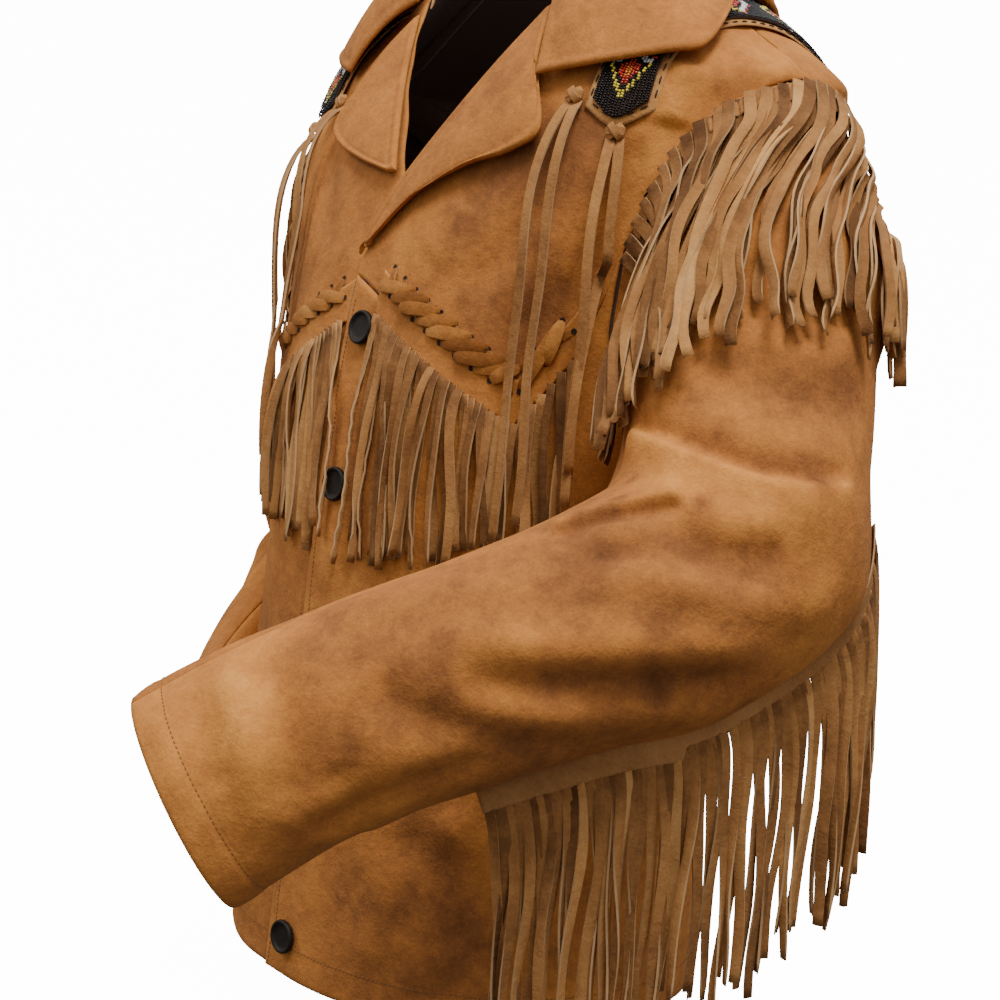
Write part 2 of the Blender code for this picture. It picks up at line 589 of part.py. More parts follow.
# buttons: turned discs with a rim, on the left front's centre line
for k in range(BUTTON_COUNT):
    z = BUTTON_TOP_Z - k * BUTTON_PITCH
    th = float(angle_at(0.0, z))
    at = skin(th, z, CLOTH + .0009)
    n = at - skin(th, z, 0.0)
    n /= np.linalg.norm(n)
    R, H = BUTTON_DIA / 2, BUTTON_THICK
    profile = ((0, H * .62), (R * .72, H * .62), (R * .82, H), (R, H * .80), (R, 0), (0, 0))
    mesh = bpy.data.meshes.new("button_%d" % (k + 1))
    mesh.from_pydata([(x, 0, y) for x, y in profile], [(i, i + 1) for i in range(len(profile) - 1)], [])
    obj = bpy.data.objects.new("button_%d" % (k + 1), mesh)
    jacket.objects.link(obj)
    screw = obj.modifiers.new("turn", "SCREW")
    screw.steps = screw.render_steps = 12
    screw.use_merge_vertices = True
    screw.merge_threshold = 0.0001
    x_axis = np.array([1.0, 0, 0])
    x_axis -= n * (x_axis @ n)
    x_axis /= np.linalg.norm(x_axis)
    y_axis = np.cross(n, x_axis)
    from mathutils import Matrix
    obj.matrix_world = Matrix([[*map(float, (x_axis[i], y_axis[i], n[i], at[i]))] for i in range(3)] + [[0, 0, 0, 1]])
    obj.data.materials.append(material("button_material", (.035, .025, .02, 1), .45))
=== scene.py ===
"""Looks of a fringed suede western jacket: cloth, strands, lacing, beadwork and buttons.

Metres, +Z up, front towards -Y, the wearer's left towards +X, as the solids have it.
"""
import json
import math

import bpy
import numpy as np
from mathutils import Matrix, Vector
from mathutils.bvhtree import BVHTree

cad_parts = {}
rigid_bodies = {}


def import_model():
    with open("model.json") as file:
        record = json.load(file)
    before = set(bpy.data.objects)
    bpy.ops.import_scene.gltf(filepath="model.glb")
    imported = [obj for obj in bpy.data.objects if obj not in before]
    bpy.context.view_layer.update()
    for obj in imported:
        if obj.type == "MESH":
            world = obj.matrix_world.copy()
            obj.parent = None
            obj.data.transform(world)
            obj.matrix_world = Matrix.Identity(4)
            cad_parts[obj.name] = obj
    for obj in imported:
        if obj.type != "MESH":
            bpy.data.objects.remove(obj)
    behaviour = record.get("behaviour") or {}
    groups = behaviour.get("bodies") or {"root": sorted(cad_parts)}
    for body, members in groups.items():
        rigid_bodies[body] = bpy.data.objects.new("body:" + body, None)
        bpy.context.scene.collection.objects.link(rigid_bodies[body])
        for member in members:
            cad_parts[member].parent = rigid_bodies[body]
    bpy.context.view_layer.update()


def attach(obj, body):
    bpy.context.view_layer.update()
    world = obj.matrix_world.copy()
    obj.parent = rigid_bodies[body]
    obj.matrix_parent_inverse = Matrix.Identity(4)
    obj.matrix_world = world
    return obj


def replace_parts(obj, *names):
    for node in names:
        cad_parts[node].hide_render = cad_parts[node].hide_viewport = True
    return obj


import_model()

# ---------------------------------------------------------------- the jacket's cut, as its solids have it
CLOTH = 0.0020          # suede wall
GAP = 0.0004            # between pieces that meet at a seam
OVERLAY = 0.0029        # how far a piece that lies on a panel starts above the panel's base
LAP = 0.022             # how far each front passes the centre line at the buttons
TUCK = 0.0030           # how far the right front goes under the left one
HEM_Z = -0.705
BUTTON_DIA = 0.023
BUTTON_THICK = 0.0042
BUTTON_TOP_Z = -0.262
BUTTON_PITCH = 0.1038
BUTTON_COUNT = 5
FRINGE_THICK = 0.0050
SLEEVE_FRINGE_DROP = 0.165
ARM_FRINGE_DROP = 0.212
ARM_TOP, ARM_LOW = -0.0865, -0.326     # highest and lowest point of an armhole
ROUND = 32                             # steps round an armhole or a sleeve
TURN = 2 * math.pi / ROUND

# The torso is a stack of superellipse rings; turn is in degrees, the left shoulder forward.
TORSO_COLUMNS = ("z", "half_width", "front_y", "back_y", "power", "turn")
TORSO = (
    (-.705, .178, -.196, .103, 2.10, 0.0),
    (-.600, .175, -.190, .100, 2.10, 0.0),
    (-.480, .178, -.184, .105, 2.10, 0.0),
    (-.370, .186, -.176, .118, 2.15, -0.5),
    (-.260, .197, -.162, .130, 2.25, -1.5),
    (-.180, .210, -.143, .134, 2.40, -3.0),
    (-.125, .224, -.122, .128, 2.45, -4.0),
    (-.088, .226, -.104, .118, 2.40, -4.5),
    (-.060, .185, -.090, .106, 2.30, -4.5),
    (-.030, .135, -.076, .090, 2.25, -4.0),
    (.000, .082, -.062, .070, 2.20, -3.0),
)
# Where front and back panels stop at the armhole: degrees from centre front and centre back.
ARMHOLE_COLUMNS = ("z", "front_angle", "back_angle")
ARMHOLE = (
    (-.322, 84, 84),
    (-.300, 65, 68),
    (-.250, 56, 60),
    (-.200, 55, 59),
    (-.150, 57, 61),
    (-.119, 62, 66),
    (-.103, 70, 72),
    (-.090, 80, 81),
)
# The left front's inner edge above the buttons: the line on which the lapel turns back.
ROLL_COLUMNS = ("x", "z")
ROLL = ((.082, 0.0), (.080, -.018), (.072, -.045), (.055, -.078), (.030, -.120), (-.001, -.171),
        (-.022, -.219), (-.022, -.2275))
# The yoke's laced lower edge, from the front edge down to its point and up to the armhole.
YOKE_COLUMNS = ("x", "z")
YOKE = ((-.022, -.2275), (.005, -.239), (.035, -.255), (.065, -.270), (.095, -.286), (.124, -.301),
        (.140, -.276), (.158, -.243))
# Lapels: a point on the roll line, the point of the free edge across from it, and its lift.
LAPEL_COLUMNS = ("roll_x", "roll_z", "edge_x", "edge_z", "edge_lift")
LAPEL_LEFT = (
    (-.0205, -.2150, -.0150, -.2090, .0045),
    (-.0110, -.1930, .0280, -.1720, .0070),
    (-.001, -.171, .0620, -.1570, .0090),
    (.030, -.120, .1000, -.1450, .0105),
    (.048, -.090, .1150, -.1345, .0110),
    (.072, -.047, .0960, -.0960, .0095),
)
LAPEL_RIGHT = (
    (-.0090, -.1590, -.0160, -.1600, .0045),
    (-.0190, -.1400, -.0560, -.1520, .0055),
    (-.030, -.120, -.0880, -.1430, .0062),
    (-.048, -.090, -.1080, -.1310, .0070),
    (-.072, -.047, -.0930, -.0950, .0090),
)
# The neck seam and the collar's outer edge, for the left half: share of the half, degrees, height.
NECK_COLUMNS = ("share", "angle", "z")
NECK = ((0.00, 24.0, -.0445), (.14, 45.0, -.0180), (.30, 90.0, .0000), (.55, 125.0, .0), (.78, 152.0, .0),
        (1.0, 180.0, .0))
FALL_COLUMNS = ("share", "angle", "z", "lift")
FALL_LEFT = ((0.00, 23.5, -.0985, .0110), (.14, 41.5, -.0885, .0120), (.28, 60.0, -.0820, .0125),
             (.42, 87.0, -.0420, .0130), (.52, 106.0, -.0385, .0120), (.62, 128.0, -.0440, .0085), (.82, 155.0, -.0500, .0060),
             (1.0, 180.0, -.0500, .0060))
FALL_RIGHT = ((0.00, 25.5, -.0910, .0110), (.14, 41.0, -.0800, .0120), (.28, 57.0, -.0710, .0125),
              (.42, 90.0, -.0300, .0110), (.62, 128.0, -.0440, .0080), (.82, 155.0, -.0500, .0060),
              (1.0, 180.0, -.0500, .0060))
STAND_HEIGHT = 0.026
# Sleeves: centre line, half widths towards the hind seam and across it, twist in degrees.
SLEEVE_COLUMNS = ("x", "y", "z", "half_hind", "half_side", "twist")
SLEEVE_LEFT = (
    (.236, -.052, -.215, .072, .074, 0),
    (.258, -.078, -.268, .070, .072, 4),
    (.280, -.103, -.320, .070, .071, 8),
    (.294, -.134, -.374, .077, .069, 14),
    (.274, -.184, -.397, .066, .065, 20),
    (.244, -.234, -.421, .061, .059, 25),
    (.207, -.285, -.447, .060, .052, 28),
    (.171, -.330, -.476, .061, .046, 30),
    (.137, -.373, -.512, .064, .040, 30),
)
SLEEVE_RIGHT = (
    (-.228, .034, -.215, .063, .063, 0),
    (-.239, .041, -.285, .060, .060, 0),
    (-.248, .045, -.350, .059, .058, 0),
    (-.252, .036, -.412, .059, .056, 0),
    (-.248, .006, -.468, .057, .050, 0),
    (-.233, -.036, -.512, .056, .044, 0),
    (-.204, -.083, -.546, .055, .040, 0),
    (-.167, -.131, -.574, .055, .037, 0),
    (-.127, -.175, -.600, .056, .036, 0),
)
SLEEVE_CAP = 3          # rings between the armhole and the sleeve's first section
SLEEVE_ROWS = 10        # rings down the sleeve
# Bead-worked strips over the shoulders: height, half width of the strip; x is the middle.
BEAD_X = 0.157
BEAD_HALF = 0.0165
BEAD_BACKING = 0.0045   # how far the stitched suede backing stands out past the beads
BEAD_FRONT_Z = -0.110
BEAD_BACK_Z = -0.112
# Knotted thongs: knot x and z, foot x and z (left side; the right side is mirrored).
TIE_COLUMNS = ("name", "knot_x", "knot_z", "foot_x", "foot_z")
TIES = (("inner", .1285, -.109, .128, -.385), ("outer", .1600, -.1290, .1480, -.352))
TIE_WIDTH = 0.011
TIE_THICK = 0.0022

SUEDE = (.47, .235, .085, 1)
FRINGE_TAN = (.40, .22, .10, 1)


def curve_through(x, xs, ys):
    """A smooth monotone cubic through a table column."""
    xs, ys = np.asarray(xs, float), np.asarray(ys, float)
    h = np.diff(xs)
    d = np.diff(ys) / h
    m = np.zeros(len(xs))
    m[0], m[-1] = d[0], d[-1]
    for i in range(1, len(xs) - 1):
        if d[i - 1] * d[i] > 0:
            w1, w2 = 2 * h[i] + h[i - 1], h[i] + 2 * h[i - 1]
            m[i] = (w1 + w2) / (w1 / d[i - 1] + w2 / d[i])
    x = np.clip(np.asarray(x, float), xs[0], xs[-1])
    k = np.clip(np.searchsorted(xs, x, side="right") - 1, 0, len(xs) - 2)
    t = (x - xs[k]) / h[k]
    return ((1 + 2 * t) * (1 - t) ** 2 * ys[k] + t * (1 - t) ** 2 * h[k] * m[k]
            + t * t * (3 - 2 * t) * ys[k + 1] + t * t * (t - 1) * h[k] * m[k + 1])


def ring_at(z):
    t = np.array(TORSO)
    return [curve_through(z, t[:, 0], t[:, k]) for k in range(1, 6)]


def torso(theta, z):
    """The torso at an angle from the centre front, towards the wearer's left, at a height."""
    theta, z = np.broadcast_arrays(np.asarray(theta, float), np.asarray(z, float))
    w, yf, yb, n, turn = ring_at(z)
    mid = 0.25 * (yf + yb)
    s, c = np.sin(theta), np.cos(theta)
    x = w * np.sign(s) * np.abs(s) ** (2 / n)
    d = np.where(c > 0, mid - yf, yb - mid)
    y = mid - np.sign(c) * np.abs(c) ** (2 / n) * d
    a = np.radians(turn)
    return np.stack([x * np.cos(a) - y * np.sin(a), x * np.sin(a) + y * np.cos(a), z], -1)


def skin(theta, z, lift=0.0):
    """The torso's surface moved out along its normal by lift."""
    theta, z, lift = np.broadcast_arrays(np.asarray(theta, float), np.asarray(z, float),
                                         np.asarray(lift, float))
    e = 1e-3
    across = torso(theta + e, z) - torso(theta - e, z)
    up = torso(theta, z + e) - torso(theta, z - e)
    n = np.cross(across, up)
    n /= np.linalg.norm(n, axis=-1)[..., None]
    return torso(theta, z) + lift[..., None] * n


def angle_at(x, z):
    """The angle at which the torso's front is at x across, at height z."""
    x, z = np.broadcast_arrays(np.asarray(x, float), np.asarray(z, float))
    lo, hi = np.full(x.shape, -np.pi / 2), np.full(x.shape, np.pi / 2)
    for _ in range(40):
        m = (lo + hi) / 2
        small = torso(m, z)[..., 0] < x
        lo, hi = np.where(small, m, lo), np.where(small, hi, m)
    return m


def front_to_back(x, z):
    """How far back the torso's rear surface is at x across and height z."""
    lo, hi = 0.0, .2
    w, yf, yb, n, turn = ring_at(z)
    a, mid = np.radians(turn), 0.25 * (yf + yb)
    for _ in range(40):
        y = (lo + hi) / 2
        u, v = x * np.cos(a) + y * np.sin(a), -x * np.sin(a) + y * np.cos(a)
        inside = np.abs(u / w) ** n + np.abs((v - mid) / (yb - mid)) ** n < 1
        lo, hi = (y, hi) if inside else (lo, y)
    return y


def on_top(x, y, low):
    """Angle and height, no lower than low, of the torso's surface above a point x across and y deep."""
    x, y, low = np.broadcast_arrays(np.asarray(x, float), np.asarray(y, float), np.asarray(low, float))

    def parts(z):
        w, yf, yb, n, turn = ring_at(z)
        a = np.radians(turn)
        u, v = x * np.cos(a) + y * np.sin(a), -x * np.sin(a) + y * np.cos(a)
        mid = 0.25 * (yf + yb)
        d = np.where(v < mid, mid - yf, yb - mid)
        return (np.abs(u / w) ** (n / 2) * np.sign(u), np.abs((v - mid) / d) ** (n / 2) * np.sign(mid - v))
    lo, hi = np.array(low), np.full(x.shape, -.0005)
    for _ in range(40):
        m = (lo + hi) / 2
        s, c = parts(m)
        inside = s * s + c * c < 1
        lo, hi = np.where(inside, m, lo), np.where(inside, hi, m)
    s, c = parts(m)
    return np.arctan2(s, c), m


def armhole(turn, side):
    """Angle and height of an armhole's edge: turn 0 at the back, a quarter at the top."""
    t = np.array(ARMHOLE)
    turn = np.asarray(turn, float)
    z = (ARM_TOP + ARM_LOW) / 2 + (ARM_TOP - ARM_LOW) / 2 * np.sin(turn)
    rear = np.cos(turn) >= 0
    th = np.radians(np.where(rear, curve_through(z, t[:, 0], t[:, 2]), curve_through(z, t[:, 0], t[:, 1])))
    th = th + (np.pi / 2 - th) * np.clip((np.abs(np.sin(turn)) - .94) / .06, 0, 1) ** 2
    th = np.where(rear, np.pi - th, th)
    return side * th, z


def patch(top, bottom, left, right):
    """A grid of (angle, height) pairs that fills four edges."""
    top, bottom, left, right = (np.array(e, float) for e in (top, bottom, left, right))
    u = np.linspace(0, 1, len(top))[None, :, None]
    v = np.linspace(0, 1, len(left))[:, None, None]
    return ((1 - v) * top[None] + v * bottom[None] + (1 - u) * left[:, None] + u * right[:, None]
            - (1 - u) * (1 - v) * top[0] - u * (1 - v) * top[-1]
            - (1 - u) * v * bottom[0] - u * v * bottom[-1])


def spread(rows, n):
    """n rows, evenly spaced along a smooth curve through a table's rows."""
    r = np.array(rows, float)
    d = np.r_[0, np.cumsum(np.linalg.norm(np.diff(r[:, :3], axis=0), axis=1))]
    s = np.linspace(0, d[-1], n)
    m = np.gradient(r, d, axis=0)
    k = np.clip(np.searchsorted(d, s, side="right") - 1, 0, len(d) - 2)
    h = (d[k + 1] - d[k])[:, None]
    t = (s - d[k])[:, None] / h
    return ((1 + 2 * t) * (1 - t) ** 2 * r[k] + t * (1 - t) ** 2 * h * m[k]
            + t * t * (3 - 2 * t) * r[k + 1] + t * t * (t - 1) * h * m[k + 1])


def press_off_torso(full, rings, gap):
    """Flatten each ring towards its outer side until the whole of it is a gap clear of the torso."""
    done = []
    for whole, ring in zip(full, rings):
        w, yf, yb, n, turn = ring_at(whole[:, 2])
        a = np.radians(turn)
        x = whole[:, 0] * np.cos(a) + whole[:, 1] * np.sin(a)
        y = -whole[:, 0] * np.sin(a) + whole[:, 1] * np.cos(a)
        mid = 0.25 * (yf + yb)
        d = np.where(y < mid, mid - yf, yb - mid) + gap
        q = (np.abs(x / (w + gap)) ** n + np.abs((y - mid) / d) ** n) ** (1 / n)
        need = np.where(q < 1, (1 / np.maximum(q, .3) - 1) * np.hypot(x, y - mid), 0)
        out = whole.mean(axis=0) - (0, mid.mean(), 0)
        out[2] = 0
        out /= np.linalg.norm(out)
        reach = whole @ out
        deep = (reach.max() - reach) / (reach.max() - reach.min())
        k = (need / np.maximum(deep, .05)).max()
        share = (reach.max() - ring @ out) / (reach.max() - reach.min())
        done.append(ring + out * (k * share)[:, None])
    return np.array(done)


def sleeve(rows, side, turns, count=SLEEVE_ROWS, cap=SLEEVE_CAP, reach=.085):
    """Sections from armhole to cuff; turn 0 is the hind seam, half a turn the fore seam."""
    line = spread(rows, count)
    p = line[:, :3]
    tan = np.gradient(p, axis=0)
    tan /= np.linalg.norm(tan, axis=1)[:, None]
    out = p[len(p) * 4 // 9] - .5 * (p[0] + p[-1])          # away from the inside of the elbow
    whole = TURN * np.arange(ROUND)
    centre = torso(*armhole(whole, side)).mean(axis=0)
    go = np.array([side * .80, -.10, -.60])
    go /= np.linalg.norm(go)
    sets = []
    for these in (whole, turns):
        rings = []
        for q, t, row in zip(p, tan, line):
            h = out - t * (out @ t)
            h /= np.linalg.norm(h)
            m = np.cross(t, h) * side
            a = these - np.radians(row[5])
            rings.append(q + np.cos(a)[:, None] * h * row[3] + np.sin(a)[:, None] * m * row[4])
        loop = skin(*armhole(these, side), CLOTH + .0006)
        inward = centre - loop
        loop = loop + inward * ((CLOTH + .0012) / np.linalg.norm(inward, axis=1))[:, None]
        caps = []
        for k in range(cap):
            t = k / cap
            a = (1 + 2 * t) * (1 - t) ** 2 * loop + t * (1 - t) ** 2 * reach * go
            b = t * t * (3 - 2 * t) * rings[0] + t * t * (t - 1) * reach * tan[0]
            caps.append(a + b)
        sets.append(np.array(caps + rings))
    full, g = sets
    g[1:] = press_off_torso(full[1:], g[1:], .0075)
    return g


def along(line, s):
    """Points at lengths s down a polyline."""
    d = np.r_[0, np.cumsum(np.linalg.norm(np.diff(line, axis=0), axis=1))]
    return np.stack([np.interp(s, d, line[:, k]) for k in range(3)], -1)


grids = {}


def shell(name, grid, thick, colour=None, rough=None, outward=None):
    """Keep a piece's sections: the side that the wall grows from, its wall and its outer side."""
    grids[name] = (np.asarray(grid, float), thick, np.asarray(outward, float))


ARM_D = 15              # the armhole step where the yoke's edge meets it
for side, word in ((1, "left"), (-1, "right")):
    def pairs(table):
        t = np.array(table)
        return np.stack([side * angle_at(t[:, 0], t[:, 1]) if side > 0 else
                         angle_at(-t[:, 0], t[:, 1]), t[:, 1]], -1)

    def front_lift(theta, z):
        if side > 0:
            return np.zeros(np.shape(z))
        x = torso(theta, z)[..., 0]
        s = np.clip((x + .060) / .032, 0, 1)
        return -TUCK * s * s * (3 - 2 * s)

    seam = side * (np.pi / 2 - .0035)
    roll = pairs(ROLL)
    roll[0] = (seam, 0.0)
    arm = np.stack(armhole(TURN * np.arange(8, 25), side), -1)      # top, front, bottom
    arm[0, 0] = seam
    arm[-1, 0] = side * (np.pi / 2 - .0025)
    lace = np.vstack([pairs(YOKE), arm[ARM_D - 8]])
    cols = len(lace)
    shoulder = np.stack([np.full(cols, seam), np.linspace(0, ARM_TOP, cols)], -1)
    arm_top = np.stack(armhole(TURN * np.arange(8, ARM_D + .1, .5), side), -1)
    arm_top[0, 0] = seam
    roll_fine = np.stack([np.interp(np.arange(0, 7.1, .5), np.arange(8), roll[:, k]) for k in (0, 1)], -1)
    yoke_pairs = patch(shoulder, lace, roll_fine, arm_top)
    yoke_pairs[-1, :, 1] = lace[:, 1] + .0013
    shell("yoke_" + word, skin(yoke_pairs[..., 0], yoke_pairs[..., 1], front_lift(yoke_pairs[..., 0], yoke_pairs[..., 1])),
          CLOTH, outward=(side * .4, -1, 0))

    down = 6
    side_z = np.linspace(ARM_LOW, HEM_Z, down + 1)[1:]
    right = np.vstack([arm[ARM_D - 8:], np.stack([np.full(down, side * (np.pi / 2 - .0025)), side_z], -1)])
    rows = len(right)
    left_z = np.linspace(lace[0, 1], HEM_Z, rows)
    left = np.stack([np.array([angle_at(-LAP if side > 0 else LAP, z) for z in left_z]), left_z], -1)
    hem = np.stack([np.linspace(left[-1, 0], right[-1, 0], cols), np.full(cols, HEM_Z)], -1)
    front_pairs = patch(lace, hem, left, right)
    front_pairs[0, :, 1] = lace[:, 1] - .0005
    shell("front_" + word, skin(front_pairs[..., 0], front_pairs[..., 1], front_lift(front_pairs[..., 0], front_pairs[..., 1])),
          CLOTH, outward=(side * .4, -1, 0))

    # lapel, laid on the yoke and standing off it towards its free edge
    table = np.array(LAPEL_LEFT if side > 0 else LAPEL_RIGHT)
    steps = 5
    t = np.linspace(0, 1, steps)[None, :]
    lx = table[:, 0:1] * (1 - t) + table[:, 2:3] * t
    lz = table[:, 1:2] * (1 - t) + table[:, 3:4] * t
    base = OVERLAY + .0004
    lift = base + (table[:, 4:5] - base) * (t * (2 - t))
    shell("lapel_" + word, skin(angle_at(lx, lz), lz, lift), .0026, outward=(side * .3, -1, 0))

    # the yoke's fringed strip, from the laced edge down to the ends of the strands
    head_x = np.array([.016, .040, .065, .095, .122, .136, .148])
    t = np.array(YOKE)
    head_z = np.interp(head_x, t[:, 0], t[:, 1]) - .0030
    foot_x = np.array([.018, .042, .067, .092, .114, .130, .143])
    foot_z = np.array([-.412, -.408, -.402, -.398, -.392, -.388, -.384])
    if side < 0:
        head_x, foot_x = -head_x, -foot_x
        head_x[0] = foot_x[0] = -.026
    v = np.linspace(0, 1, 5)[:, None]
    fx = head_x * (1 - v) + foot_x * v
    fz = head_z * (1 - v) + foot_z * v
    shell("fringe_yoke_" + word, skin(angle_at(fx, fz), fz, OVERLAY), FRINGE_THICK, FRINGE_TAN,
          outward=(side * .3, -1, 0))

    # knotted thongs that hang over the yoke and its fringe
    for name, kx, kz, ex, ez in TIES:
        z = np.array([kz, kz - .030, kz - .070, -.225, -.262, -.300, -.340, ez])
        z = np.sort(z)[::-1]
        mid_x = np.interp(-z, (-kz, -ez), (kx, ex))
        high = np.clip((-z - .215) / .040, 0, 1)
        lift = OVERLAY + .0002 + (FRINGE_THICK + .0012) * high * high * (3 - 2 * high)
        tx = np.stack([mid_x - TIE_WIDTH / 2, mid_x + TIE_WIDTH / 2], -1) * side
        tz = np.stack([z, z], -1)
        shell("tie_%s_%s" % (word, name), skin(angle_at(tx, tz), tz, lift[:, None]), TIE_THICK,
              outward=(side * .3, -1, 0))

    # bead-worked strip and its backing, from the front over the shoulder to the back
    for name, grow, low, thick, colour in (("bead_back_", BEAD_BACKING, OVERLAY + .0012, .0012, SUEDE),
                                           ("bead_strip_", 0.0, OVERLAY + .0034, .0018, (.02, .02, .02, 1))):
        half = BEAD_HALF + grow
        strip = []
        for x, tip in ((BEAD_X - half, 0.0), (BEAD_X, .0110), (BEAD_X + half, 0.0)):
            zf, zb = BEAD_FRONT_Z - grow - tip, BEAD_BACK_Z - grow - tip
            front = torso(angle_at(side * x, zf), zf)[1]
            rear = front_to_back(side * x, zb)
            t = .5 - .5 * np.cos(np.pi * np.linspace(0, 1, 15))
            strip.append(np.stack(on_top(side * x, front + (rear - front) * t, np.where(t < .5, zf, zb)), -1))
        strip = np.array(strip).transpose(1, 0, 2)
        shell(name + word, skin(strip[..., 0], strip[..., 1], low), thick, colour, .6,
              outward=(side * .3, 0, 1))

    # two-piece sleeve: the top sleeve and the under sleeve meet at the hind and fore seams
    table = SLEEVE_LEFT if side > 0 else SLEEVE_RIGHT
    small = .007
    top_turns = TURN * np.arange(0, 17)
    top_turns[0], top_turns[-1] = small, np.pi - small
    low_turns = TURN * np.arange(16, 33)
    low_turns[0], low_turns[-1] = np.pi + small, 2 * np.pi - small
    for name, turns in (("top", top_turns), ("under", low_turns)):
        g = sleeve(table, side, turns)
        r, c = g.shape[0] // 2, g.shape[1] // 2
        centre = sleeve(table, side, TURN * np.arange(ROUND))[r].mean(axis=0)
        shell("sleeve_%s_%s" % (word, name), g, CLOTH, outward=g[r, c] - centre)

    # armhole fringe: from the seam down over the top of the sleeve
    turns = TURN * np.arange(0, 17)
    under = sleeve(table, side, turns)
    across = np.gradient(under, axis=1)
    along_arm = np.gradient(under, axis=0)
    n = np.cross(across, along_arm) * side
    n /= np.linalg.norm(n, axis=2)[..., None]
    over = under + n * (.0034 if side > 0 else .0052)
    d = np.concatenate([np.zeros((1, len(turns))), np.cumsum(np.linalg.norm(np.diff(over, axis=0), axis=2), axis=0)])
    g = []
    for k in range(6):
        reach = np.minimum(d[k] if k else .012, ARM_FRINGE_DROP - .004 * (5 - k))
        g.append(np.stack([[np.interp(reach[c] if k else .012, d[:, c], over[:, c, i]) for i in range(3)]
                           for c in range(len(turns))]))
    g = np.array(g)
    shell("fringe_armhole_" + word, g, FRINGE_THICK, FRINGE_TAN, outward=(side, -.2, .4))

    # sleeve fringe: hangs straight down from the hind seam
    hind = sleeve(table, side, np.array([0.0]))[:, 0]
    body = sleeve(table, side, TURN * np.arange(ROUND))
    first, last = (.290, .565) if side > 0 else (.260, .425)
    stations = np.linspace(first, last, 9)
    head = along(hind, stations)
    centres = along(body.mean(axis=1), stations * (np.linalg.norm(np.diff(body.mean(axis=1), axis=0), axis=1).sum()
                                                  / np.linalg.norm(np.diff(hind, axis=0), axis=1).sum()))
    away = head - centres
    away /= np.linalg.norm(away, axis=1)[:, None]
    run = np.gradient(head, axis=0)
    level = np.stack([-run[:, 1], run[:, 0], np.zeros(len(run))], -1)
    level /= np.linalg.norm(level, axis=1)[:, None]
    level *= np.sign(level[:, 0:1] * side)
    top = head + away * .0050 + level * .0040
    drops = np.array([0.0, .055, .110, SLEEVE_FRINGE_DROP])
    g = np.array([top + (0, 0, -d) + level * .010 * (d / SLEEVE_FRINGE_DROP) for d in drops])
    shell("fringe_sleeve_" + word, g, FRINGE_THICK, FRINGE_TAN, outward=(side, 0, 0))

# back: hem to neck, between the side and shoulder seams
down = 6
arm_left = np.stack(armhole(TURN * np.arange(8, -9, -1), 1), -1)    # top, back, bottom
arm_left[0, 0] = np.pi / 2 + .0035
arm_left[-1, 0] = np.pi / 2 + .0025
shoulder_z = np.linspace(0, ARM_TOP, 6)[:-1]
edge = np.vstack([np.stack([np.full(5, np.pi / 2 + .0035), shoulder_z], -1), arm_left,
                  np.stack([np.full(down, np.pi / 2 + .0025), np.linspace(ARM_LOW, HEM_Z, down + 1)[1:]], -1)])
cols = 10
u = np.linspace(0, 1, cols)[None, :]
theta = edge[:, 0:1] + (2 * np.pi - 2 * edge[:, 0:1]) * u
shell("back", skin(theta, np.repeat(edge[:, 1:2], cols, axis=1)), CLOTH, outward=(0, 1, 0))

# collar: a stand round the neck and a fall turned over it
t = np.array(NECK)
shares = np.array([0, .07, .14, .22, .30, .42, .55, .78, 1.0])
neck_z = np.interp(shares, t[:, 0], t[:, 2])


def neck_half(side, shares):
    """Angles of the neck seam: on the roll line in front, then by the table's angles."""
    z = np.interp(shares, t[:, 0], t[:, 2])
    r = np.array(ROLL)
    x = np.interp(-z, -r[:3, 1], r[:3, 0])
    front = angle_at(side * x * .999, np.minimum(z, -1e-4)) * side
    th = np.where(shares < .28, front, np.radians(np.interp(shares, t[:, 0], t[:, 1])))
    return (th if side > 0 else 2 * np.pi - th), z


l_th, l_z = neck_half(1, shares)
r_th, r_z = neck_half(-1, shares)
th, z = np.r_[l_th, r_th[::-1][1:]], np.r_[l_z, r_z[::-1][1:]]
foot = torso(th, z)
inner = foot * (.975, .975, 1) + (0, 0, .0050)
grow = 1 - np.abs(np.linspace(-1, 1, len(th))) ** 8
rise = .006 + (STAND_HEIGHT - .006) * grow
crest = foot + np.stack([0 * th, 0 * th, .0042 + rise], -1) * 1.0
crest[:, :2] *= 0.965
shell("collar_stand", np.array([inner, .5 * (inner + crest), crest]), CLOTH, outward=foot[2] - (0, 0, 0))

fall = []
for table in (FALL_LEFT, FALL_RIGHT):
    f = np.array(table)
    s = np.array([0, .07, .14, .21, .28, .35, .42, .52, .62, .82, 1.0])
    th = np.radians(np.interp(s, f[:, 0], f[:, 1]))
    z = np.interp(s, f[:, 0], f[:, 2])
    lift = np.interp(s, f[:, 0], f[:, 3])
    nth, nz = neck_half(1 if table is FALL_LEFT else -1, s)
    fall.append((th, z, lift, nth, nz))
(l_th, l_z, l_lift, l_nth, l_nz), (r_th, r_z, r_lift, r_nth, r_nz) = fall
edge_th = np.r_[l_th, 2 * np.pi - r_th[::-1][1:]]
edge_z = np.r_[l_z, r_z[::-1][1:]]
edge_lift = np.r_[l_lift, r_lift[::-1][1:]]
root_th = np.r_[l_nth, r_nth[::-1][1:]]
root_z = np.r_[l_nz, r_nz[::-1][1:]]
grow = 1 - np.abs(np.linspace(-1, 1, len(edge_th))) ** 8
root = torso(root_th, root_z)
out2 = root * (1, 1, 0)
out2 /= np.linalg.norm(out2, axis=1)[:, None]
start = root + out2 * .0050 + np.stack([0 * grow, 0 * grow, .0095 + (STAND_HEIGHT - .004) * grow], -1)
end = skin(edge_th, edge_z, edge_lift)
bend = start + out2 * .012 + (end - start) * .35 + np.stack([0 * grow, 0 * grow, .010 * (.3 + grow)], -1)
